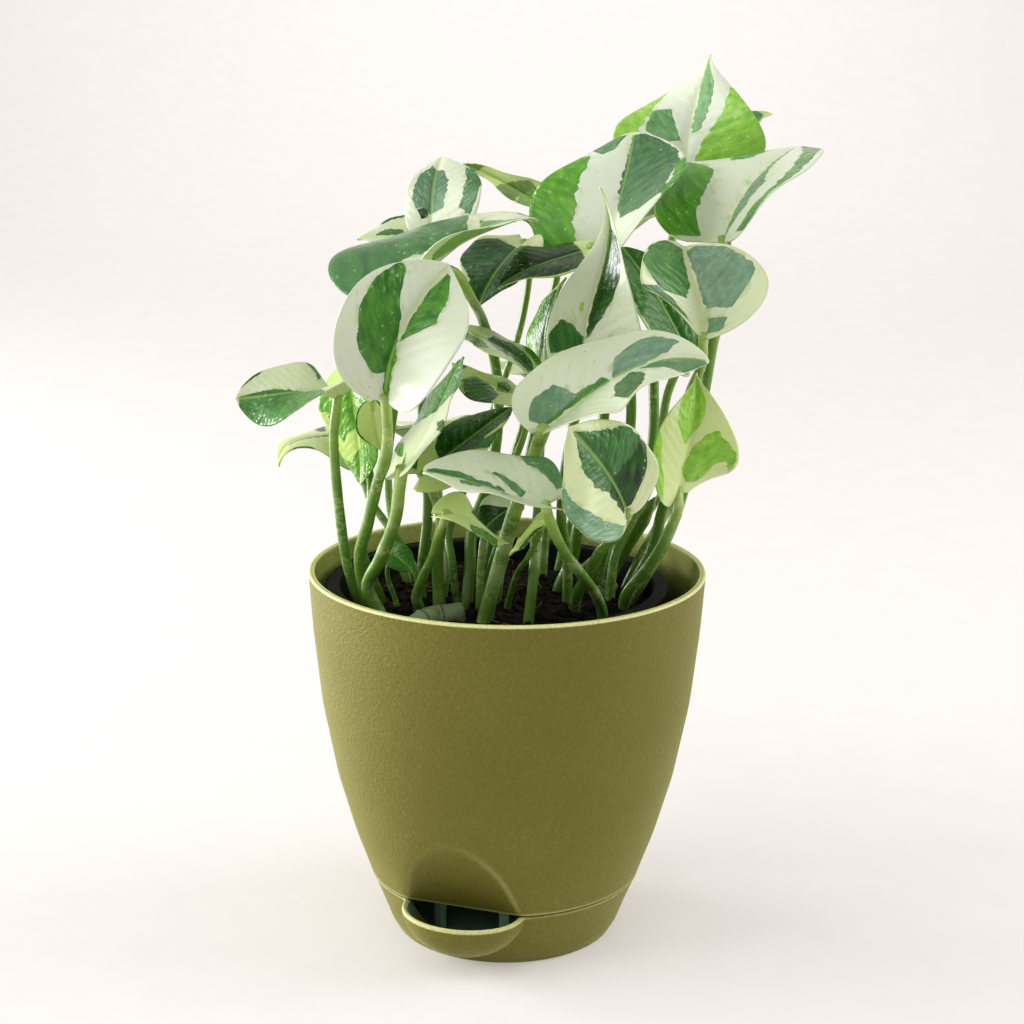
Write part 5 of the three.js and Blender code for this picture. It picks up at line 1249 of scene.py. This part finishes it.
@dataclass
class Pot:
    """The two-part pot: an upper pot with a flat filling recess, and a reservoir with a pouch below it.

    round_off and pouch_blend are how softly the recess and the pouch meet the wall. The rim's and the lip's
    edges are listed as steps inwards from the wall, and heights above the edge.
    """

    finish: PotFinish = PotFinish()
    columns: int = 320
    round_off: float = 0.5
    pouch_blend: float = 0.6
    rim_low: float = 0.9
    rim_outside: tuple = ((-0.05, -0.6), (0.0, -0.25), (0.18, -0.06), (0.45, 0.0))
    rim_inside: tuple = ((WALL - 0.45, 0.0), (WALL - 0.15, -0.08), (WALL, -0.35))
    lip: tuple = ((0.05, -0.55), (0.2, -0.22), (0.45, -0.05), (0.8, 0.0), (1.3, -0.05))

    def stack(self) -> RingStack:
        """An empty stack, its columns closer together near the spout: b + pi (0.4 x + 0.6 x^3)."""
        x = np.linspace(-1, 1, self.columns, endpoint=False)
        return RingStack(SPOUT_BEARING + np.pi * (0.4 * x + 0.6 * x ** 3))

    def wall(self, z: float, shrink: float) -> Array:
        """The upper wall's radius at a height, eased at its corners by a moving average of five samples."""
        radii, heights = zip(*POT_PROFILE)
        spread = [np.interp(z + step, heights, radii) for step in (-3.0, -1.5, 0.0, 1.5, 3.0)]
        reach = 4.0
        inside = smooth(heights[0], heights[0] + reach, z) * smooth(heights[-1], heights[-1] - reach, z)
        return np.interp(z, heights, radii) * (1 - inside) + sum(spread) / len(spread) * inside - shrink

    def cut_wall(self, z: float, inset: float, turn: Array) -> tuple[Array, Array]:
        """The upper wall, held behind the recess's plane, which leans out as it rises from the seam's chord.

        Args:
            z: the height.
            inset: how far inside the pot's outer side and the plane the wall is.
            turn: the columns' bearings.

        Returns:
            The radii, and how much of them the plane took away.
        """
        radius = self.wall(z, inset) + 0 * turn
        top_radius, top_z = SPOUT_CUT_TOP
        lean = (top_radius - SPOUT_CHORD) / (top_z - SEAM_Z)
        ahead = np.cos(turn - SPOUT_BEARING)
        least, far, steepest = 0.05, 1e3, 50.0
        plane = (SPOUT_CHORD + (z - SEAM_Z) * lean - inset * math.hypot(1, lean)) / np.maximum(ahead, least)
        plane = np.where(ahead > least, plane, far)
        gap = (radius - plane) / self.round_off
        eased = np.logaddexp(0, np.clip(gap, -steepest, steepest)) + np.maximum(gap - steepest, 0)
        return radius - self.round_off * eased, radius - plane

    def upper(self, material: bpy.types.Material) -> Skin:
        """The upper pot: rings from the middle of its underside up the wall, over the rim and down inside."""
        stack = self.stack()
        turn = stack.turn
        wall_z = np.r_[POT_FLOOR_Z + 0.35, np.linspace(POT_FLOOR_Z + 0.8, 60, 110),
                       np.linspace(61, RIM_Z - self.rim_low, 50)]
        foot, _ = self.cut_wall(POT_FLOOR_Z, 0.4, turn)
        for share in (0.001, 0.5, 0.9):
            stack.add(foot * share, POT_FLOOR_Z, 0.0, 1.0)
        stack.add(foot, POT_FLOOR_Z, 0.0, 0.2)
        for z in wall_z:
            radius, taken = self.cut_wall(z, 0.0, turn)
            # Painted highlight: a thin bright line along the recess's edge, stronger on one side, and another
            # at the seam. shade is painted shade in the recess.
            arch = np.exp(-(taken / 0.35) ** 2) * (0.03 + 0.2 * smooth(0.0, 0.4, turn - SPOUT_BEARING))
            seam = math.exp(-((z - POT_FLOOR_Z - 0.4) / 0.5) ** 2) * 0.5
            shade = smooth(0.0, 0.9, taken) * smooth(52, 20, z)
            stack.add(radius, z, np.maximum(arch * (z > 22), seam), shade)
        outer = self.wall(RIM_Z - self.rim_low, 0.0)
        # The rim: painted highlight over its rounded top, fainter across the middle, with a little painted
        # shade on its inner edge.
        for step, drop in self.rim_outside:
            stack.add(outer - step, RIM_Z + drop, 1.0)
        stack.add(outer - WALL * 0.5, RIM_Z - 0.02, 0.35)
        for step, drop in self.rim_inside:
            stack.add(outer - step, RIM_Z + drop, 0.8, 0.3)
        for z in np.linspace(RIM_Z - 1.2, POT_FLOOR_Z + WALL + 1.5, 60):
            stack.add(self.cut_wall(z, WALL, turn)[0], z, 0.0, 1.0)
        floor, _ = self.cut_wall(POT_FLOOR_Z + WALL, WALL, turn)
        for share in (0.97, 0.8, 0.4, 0.001):
            stack.add(floor * share, POT_FLOOR_Z + WALL, 0.0, 1.0)
        return stack.skin(material)

    def pouch(self, radius: Array, z: float, turn: Array, shrink: float) -> Array:
        """Widens a wall to the pouch, an ellipsoid about the middle of the spout's chord at the seam.

        A ray at angle d from the spout meets the ellipsoid where
        (r cos d - c)^2 / out^2 + (r sin d)^2 / across^2 = 1 - (z - seam)^2 / down^2,
        and its farther root is the pouch's radius.
        """
        across, out, down = (size - shrink for size in POUCH_RADII)
        level = 1 - ((z - SEAM_Z) / down) ** 2
        ahead, aside = np.cos(turn - SPOUT_BEARING), np.sin(turn - SPOUT_BEARING)
        a = (ahead / out) ** 2 + (aside / across) ** 2
        b = -2 * ahead * SPOUT_CHORD / out ** 2
        c = (SPOUT_CHORD / out) ** 2 - level
        inside = b * b - 4 * a * c
        far = (-b + np.sqrt(np.maximum(inside, 0))) / (2 * a)
        far = np.where((inside > 0) & (ahead > 0), far, 0)
        soft = self.pouch_blend
        return radius + soft * np.logaddexp(0, np.clip((far - radius) / soft, -40, 60))

    def bowl(self, z: float, turn: Array, shrink: float, pouch_shrink: float) -> Array:
        """The reservoir's radius at a height, with its pouch."""
        radii, heights = zip(*RESERVOIR_PROFILE)
        return self.pouch(np.interp(z, heights, radii) - shrink + 0 * turn, z, turn, pouch_shrink)

    def reservoir(self, material: bpy.types.Material) -> Skin:
        """The reservoir: rings from the middle of its underside up the wall, over its lip and down inside."""
        stack = self.stack()
        turn = stack.turn
        near = smooth(0.86, 0.93, np.cos(turn - SPOUT_BEARING))
        foot = RESERVOIR_PROFILE[0][0]
        middle = 0.0005
        for share, z in ((middle, 0.6), (0.3, 0.6), (0.6, 0.6), (0.9, 0.25)):
            stack.add(foot * share, z, 0.0, 0.3)
        for step in (1.4, 0.5):
            stack.add(foot - step, 0.0)
        # Painted highlight: a bright band just under the lip near the spout, then over the whole lip,
        # strongest near the spout.
        for z in np.r_[0.25, np.linspace(0.7, SEAM_Z - 0.9, 70)]:
            stack.add(self.bowl(z, turn, 0.0, 0.0), z, 0.7 * near * smooth(1.2, 0.9, SEAM_Z - z))
        edge = self.bowl(SEAM_Z, turn, 0.0, 0.0)
        for step, drop in self.lip:
            stack.add(edge - step, SEAM_Z + drop, 0.25 + 0.5 * near)
        # Painted shade on the inner side, with the teal lining near the spout.
        for z in np.linspace(SEAM_Z - 0.5, WALL + 0.6, 44):
            lining = near * smooth(9.0, 1.0, SEAM_Z - z)
            stack.add(self.bowl(z, turn, WALL, POUCH_WALL), z, 0.0, 0.8, lining)
        for share in (0.97, 0.6, middle):
            stack.add((foot - WALL) * share, WALL, 0.0, 1.0)
        return stack.skin(material)

    def build(self) -> None:
        """Makes both pieces."""
        plastic = self.finish.build()
        put("pot_wall", [self.upper(plastic)], ["upper_pot"], sharp=40)
        put("reservoir_bowl", [self.reservoir(plastic)], ["reservoir"], sharp=40)


@dataclass
class Filling:
    """What stands in the pot: the thin nursery pot and the soil with its crumbs, fibres and roots.

    profile is the nursery pot's outer side from the middle of its floor up, and flange is its flat rim, both
    as radii and heights. Crumbs and fibres lie within their reach of the nursery pot's axis, and no fibre
    runs past the edge.
    """

    profile: tuple = ((0.02, 22.6), (28.0, 22.6), (33.0, 22.6), (34.5, 24.0), (52.6, 113.0), (52.6, 117.4))
    flange: tuple = ((55.7, 117.4), (56.0, 117.7), (56.0, 118.6), (55.6, 119.0))
    wall: float = 1.2
    columns: int = 128
    soil_radius: float = 50.6
    soil_columns: int = 200
    soil_rings: int = 70
    crumbs: int = 420
    crumb_reach: float = 50.0
    fibres: int = 50
    fibre_reach: float = 46.0
    edge: float = 48.0
    plastic: PlainFinish = PlainFinish("nursery_plastic", srgb(12, 14, 10), srgb(20, 23, 16),
                                       srgb(50, 54, 38), 180.0, 0.75, 0.0002, 0.25)
    peat: PlainFinish = PlainFinish("peat", srgb(10, 7, 5), srgb(32, 23, 16), srgb(126, 100, 64),
                                    160.0, 0.9, 0.0012)
    husk: PlainFinish = PlainFinish("root_fibre", srgb(116, 86, 50), srgb(72, 50, 28), srgb(160, 130, 84),
                                    300.0, 0.8, 0.0003)

    def nursery(self, material: bpy.types.Material) -> Skin:
        """The nursery pot: its outer and inner profile turned about its own axis."""
        bore = self.profile[-1][0] - self.wall
        floor = self.profile[0][1] + self.wall
        inside = ((bore + 0.4, 119.0), (bore, 118.5), (bore, 113.0), (33.0 - self.wall, floor + 0.6),
                  (30.0, floor), (0.02, floor))
        rings = [ring(radius, z, full_turn(self.columns), NURSERY_X)
                 for radius, z in (*self.profile, *self.flange, *inside)]
        return Skin(np.stack(rings), material)

    def height(self, x: Array, y: Array) -> Array:
        """The soil's height: its level with a sum of seeded sine ripples about a millimetre high."""
        rng = np.random.default_rng(11)
        z = np.full_like(x, SOIL_Z - 0.2)
        for size, waves in ((0.3, 0.12), (0.21, 0.3), (0.18, 0.7), (0.12, 1.3), (0.096, 2.1)):
            bearings, phases = rng.uniform(0, 6.3, 3), rng.uniform(0, 6.3, 3)
            for bearing, phase in zip(bearings, phases):
                z = z + size * np.sin(waves * (x * np.cos(bearing) + y * np.sin(bearing)) + phase)
        return z

    def soil(self, material: bpy.types.Material) -> Skin:
        """The soil's body: a tapered plug with a rough top."""
        turn = full_turn(self.soil_columns)
        sides = ((0.02, 24.6), (31.0, 24.6), (self.soil_radius - 0.2, SOIL_Z - 2.0))
        rings = [ring(radius, z, turn, NURSERY_X) for radius, z in sides]
        for share in np.linspace(1, 0.0005, self.soil_rings):
            level = ring(self.soil_radius * share, 0.0, turn, NURSERY_X)
            level[:, 2] = self.height(level[:, 0], level[:, 1])
            rings.append(level)
        return Skin(np.stack(rings), material)

    def crumb(self, rng: np.random.Generator, material: bpy.types.Material) -> Skin:
        """One crumb: a small ball pressed flat and dented by a seeded waviness, half sunk in the soil."""
        radius = self.crumb_reach * math.sqrt(rng.uniform(0, 0.97))
        turn = rng.uniform(0, 2 * math.pi)
        x, y = NURSERY_X + radius * math.cos(turn), radius * math.sin(turn)
        smaller = min(1.0, 0.5 + (52 - radius) / 6)
        size = rng.uniform(0.6, 2.0) * smaller
        about = full_turn(10)[None, :]
        down = np.linspace(0.05, np.pi - 0.05, 7)[:, None]
        across, upward = rng.uniform(0, 6), rng.uniform(0, 6)
        dents = 1 + 0.25 * np.sin(3 * about + across) * np.sin(2 * down + upward)
        flat = rng.uniform(0.45, 0.8)
        ball = np.stack([np.sin(down) * np.cos(about), np.sin(down) * np.sin(about),
                         flat * np.cos(down) + 0 * about], axis=-1) * dents[..., None] * size
        level = float(self.height(np.array(x), np.array(y)))
        return Skin(ball + np.array([x, y, level + 0.15 * size]), material)

    def fibre(self, rng: np.random.Generator, material: bpy.types.Material) -> Skin:
        """One fibre or thin root: a fine tube along a wandering path on the soil, its ends pushed in."""
        radius = self.fibre_reach * math.sqrt(rng.uniform(0, 1))
        turn = rng.uniform(0, 2 * math.pi)
        middle = np.array([NURSERY_X, 0.0])
        here = middle + radius * np.array([math.cos(turn), math.sin(turn)])
        heading = rng.uniform(0, 2 * math.pi)
        points = []
        corners, rings = 5, 16
        for i in range(corners):
            level = float(self.height(here[0], here[1]))
            lift = rng.uniform(0.1, 1.1) if 0 < i < corners - 1 else -0.8
            points.append((here[0], here[1], level + lift))
            heading += rng.uniform(-0.8, 0.8)
            here = here + rng.uniform(1.5, 3.5) * np.array([math.cos(heading), math.sin(heading)])
            span = math.hypot(*(here - middle))
            if span > self.edge:
                here = middle + (here - middle) * self.edge / span
        thickness = np.full(rings, rng.uniform(0.18, 0.5))
        return Skin(tube(spline(points, rings), thickness, 6), material)

    def build(self) -> None:
        """Makes the nursery pot, the soil and what lies on it."""
        rng = np.random.default_rng(5)
        plastic, peat, husk = self.plastic.build(), self.peat.build(), self.husk.build()
        put("nursery_shell", [self.nursery(plastic)], ["nursery_pot"], sharp=35)
        crumbs = [self.crumb(rng, peat) for _ in range(self.crumbs)]
        put("soil_top", [self.soil(peat), *crumbs], ["soil"])
        put("soil_fibres", [self.fibre(rng, husk) for _ in range(self.fibres)], [])


@dataclass(frozen=True)
class StemPiece:
    """A cut piece of old stem: what its middle passes, its radii along it and the seed of its knobs."""

    name: str
    points: tuple[Triple, ...]
    radii: Triple
    seed: int
    rings: ClassVar[int] = 60
    sides: ClassVar[int] = 28
    nodes: ClassVar[Pair] = (0.3, 0.62)

    def skin(self, material: bpy.types.Material) -> Skin:
        """A knobbly tube with raised rings and rounded ends, with bark (scar, length, 0) at its points."""
        rng = np.random.default_rng(self.seed)
        u = np.linspace(0, 1, self.rings)
        radius = np.interp(u, np.linspace(0, 1, len(self.radii)), self.radii)
        raised = sum(np.exp(-((u - place) / 0.02) ** 2) for place in self.nodes) * 0.14
        to_end = np.minimum(u, 1 - u)
        ends = np.minimum(1, np.sqrt(np.clip(to_end * 40 + 0.35, 0, 1)))
        turn = full_turn(self.sides)
        knobs = 1 + 0.03 * np.sin(5 * turn[None, :] + 9 * u[:, None] + rng.uniform(0, 6))
        scar = np.clip(raised * 7, 0, 1) + smooth(0.05, 0.0, to_end)
        marks = np.stack(np.broadcast_arrays(scar[:, None], u[:, None], 0 * knobs), axis=-1)
        rings = tube(spline(self.points, self.rings), radius * (1 + raised) * ends, self.sides, knobs)
        return Skin(rings, material, Ends.FLAT, {"bark": marks})


@dataclass
class OldStems:
    """The two cut pieces of old stem and the new leaf that is still rolled up."""

    pieces: tuple = (
        StemPiece("front", ((-31, -30, 112), (-24, -23.5, 113.5), (-14, -19.5, 114)), (3.4, 3.8, 3.5), 1),
        StemPiece("right", ((30.5, 7.5, 112.5), (33, 9.8, 114), (35.5, 12.3, 114)), (2.2, 2.5, 2.3), 2))
    rolled: tuple = ((35, 20.5, 101), (35, 20.5, 112), (37, 18.5, 120), (42.5, 14, 132.5), (48.5, 8, 146))
    rolled_radii: tuple = ((0, 1.6), (0.25, 1.7), (0.5, 2.0), (0.8, 2.8), (0.93, 1.6), (1, 0.25))
    rings: int = 90
    sides: int = 24
    bark: BarkFinish = BarkFinish()

    def new_leaf(self, material: bpy.types.Material) -> Skin:
        """The rolled leaf: a tube that swells and ends in a point, with the free edge winding about it."""
        u = np.linspace(0, 1, self.rings)
        radius = np.interp(u, *zip(*self.rolled_radii))
        winding = np.mod(full_turn(self.sides)[None, :] - 5 * u[:, None], 2 * np.pi) / (2 * np.pi)
        ripple = 0.93 + 0.17 * winding * smooth(0.3, 0.6, u)[:, None]
        marks = np.array([0.3, 0.5, 3.0]) + 0 * ripple[..., None]
        rings = tube(spline(self.rolled, self.rings), radius, self.sides, ripple)
        return Skin(rings, material, Ends.FLAT, {"stalk": marks})

    def build(self, stalk: bpy.types.Material) -> None:
        """Makes the three pieces."""
        bark = self.bark.build()
        for piece in self.pieces:
            put("stem_piece_" + piece.name, [piece.skin(bark)], ["stem_" + piece.name])
        put("new_leaf", [self.new_leaf(stalk)], ["rolled_leaf"])


@dataclass
class Plant:
    """The grown leaves, each one piece of a blade and its stalk."""

    blade: BladeFinish = BladeFinish()
    stalk: StalkFinish = StalkFinish()

    def build(self) -> bpy.types.Material:
        """Makes every leaf, and returns the stalks' material."""
        blade, stalk = self.blade.build(), self.stalk.build()
        for number, leaf in enumerate(LEAVES):
            rng = np.random.default_rng(100 + number)
            skins = [leaf.blade(rng, blade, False), leaf.stem(rng, stalk)]
            put(leaf.name + "_look", skins, [leaf.name])
        return stalk


def stand(piece: bpy.types.Object, place: Array, way: Array, roll: float) -> None:
    """Puts a lamp or a camera at a place, looking along a way and turned about it by the roll."""
    ahead = unit(way)
    right = unit(np.cross(ahead, np.array([0.0, 0.0, 1.0])))
    up = np.cross(right, ahead)
    cosine, sine = math.cos(roll), math.sin(roll)
    axes = np.stack([cosine * right + sine * up, cosine * up - sine * right, -ahead], axis=1)
    turn = Matrix(axes.tolist()).to_4x4()
    turn.translation = place
    piece.matrix_world = turn
    bpy.context.scene.collection.objects.link(piece)


@dataclass(frozen=True)
class Lamp:
    """A square area lamp, aimed at the plant's middle or at another place."""

    name: str
    place: Triple
    size: float
    power: float
    aim: Triple = CAMERA_TARGET

    def build(self) -> None:
        """Makes the lamp."""
        data = bpy.data.lights.new(self.name, "AREA")
        data.size = self.size
        data.energy = self.power
        place = np.array(self.place)
        stand(bpy.data.objects.new(self.name, data), place, np.array(self.aim) - place, 0.0)


@dataclass
class Studio:
    """The floor and backdrop in one sheet, the lights and the photograph's camera.

    The sheet reaches to half_width at both sides and in front. Behind the object it curves up from
    bend_start, with bend_radius, to its height.
    """

    floor: PlainFinish = PlainFinish("studio_floor", srgb(192, 189, 187), srgb(190, 187, 185),
                                     srgb(187, 184, 182), 40.0, 0.8, 0.00002, 0.1)
    half_width: float = 3.0
    bend_start: float = 1.6
    bend_radius: float = 1.2
    height: float = 4.0
    glow_color: tuple = srgb(250, 244, 240)
    glow: float = 0.295
    air_color: tuple = srgb(250, 248, 247)
    air: float = 0.5
    lamps: tuple = (Lamp("key", (-1.4, -0.35, 1.05), 1.2, 13.5),
                    Lamp("fill", (1.4, 0.1, 0.8), 1.0, 11.0),
                    Lamp("top", (-0.2, -0.7, 1.9), 0.7, 3.5),
                    Lamp("backdrop", (0.0, 2.0, 1.2), 1.2, 6.0, (0.0, 2.5, 0.2)),
                    Lamp("edge", (-1.2, 0.5, 0.22), 0.5, 14.0, (0.0, 0.0, 0.08)))

    def sheet(self, material: bpy.types.Material) -> None:
        """One sheet: level under the object, then curving up behind it."""
        x = np.linspace(-self.half_width, self.half_width, 24)
        bend = np.linspace(0, math.pi / 2, 16)
        y = np.r_[-self.half_width, -1.0, 0.0, 1.0, self.bend_start + self.bend_radius * np.sin(bend),
                  self.bend_start + self.bend_radius]
        z = np.r_[0.0, 0.0, 0.0, 0.0, self.bend_radius * (1 - np.cos(bend)), self.height]
        points = np.stack(np.broadcast_arrays(x[:, None], y[None, :], z[None, :]), axis=-1)
        rows, columns = points.shape[:2]
        first = (np.arange(rows - 1)[:, None] * columns + np.arange(columns - 1)[None, :]).reshape(-1)
        faces = np.stack([first, first + columns, first + columns + 1, first + 1], axis=-1)
        mesh = bpy.data.meshes.new("studio_sheet")
        mesh.from_pydata(points.reshape(-1, 3).tolist(), [], faces.tolist())
        mesh.polygons.foreach_set("use_smooth", np.ones(len(faces), dtype=bool))
        mesh.materials.append(material)
        sheet = bpy.data.objects.new("studio_sheet", mesh)
        bpy.context.scene.collection.objects.link(sheet)

    def camera(self) -> None:
        """The camera that took the photograph, as measured from the pot's rim and seam."""
        data = bpy.data.cameras.new("photo_camera")
        data.sensor_width = SENSOR_WIDTH
        data.lens = FOCAL_PIXELS * SENSOR_WIDTH / FRAME_PIXELS
        rise = math.radians(CAMERA_ELEVATION)
        way = np.array([0.0, math.cos(rise), -math.sin(rise)])
        camera = bpy.data.objects.new("photo_camera", data)
        stand(camera, np.array(CAMERA_TARGET) - way * CAMERA_DISTANCE, way, math.radians(CAMERA_ROLL))
        bpy.context.scene.camera = camera

    def air_light(self) -> None:
        """The even light from all round."""
        world = bpy.data.worlds.new("studio")
        world.use_nodes = True
        world.node_tree.nodes["Background"].inputs["Color"].default_value = self.air_color
        world.node_tree.nodes["Background"].inputs["Strength"].default_value = self.air
        bpy.context.scene.world = world

    def build(self) -> None:
        """Makes the studio."""
        material = self.floor.build()
        shader = material.node_tree.nodes["Principled BSDF"]
        shader.inputs["Emission Color"].default_value = self.glow_color
        shader.inputs["Emission Strength"].default_value = self.glow
        self.sheet(material)
        self.air_light()
        bpy.context.scene.view_settings.view_transform = "Standard"
        bpy.context.scene.view_settings.look = "Medium High Contrast"
        for lamp in self.lamps:
            lamp.build()
        self.camera()


def dress_basket() -> None:
    """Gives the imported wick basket, whose shape is kept, its own plastic."""
    finish = PlainFinish("basket_plastic", srgb(168, 214, 190), srgb(190, 226, 206), srgb(130, 176, 152),
                         140.0, 0.45, 0.0002)
    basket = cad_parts["wick_basket"]
    basket.data.materials.clear()
    basket.data.materials.append(finish.build())


def main() -> None:
    """Builds the pot, its filling, the plant and the studio, in that order."""
    logging.basicConfig(level=logging.INFO, format="%(name)s %(message)s")
    Pot().build()
    dress_basket()
    Filling().build()
    stalk = Plant().build()
    OldStems().build(stalk)
    Studio().build()


if __name__ == "__main__":
    main()
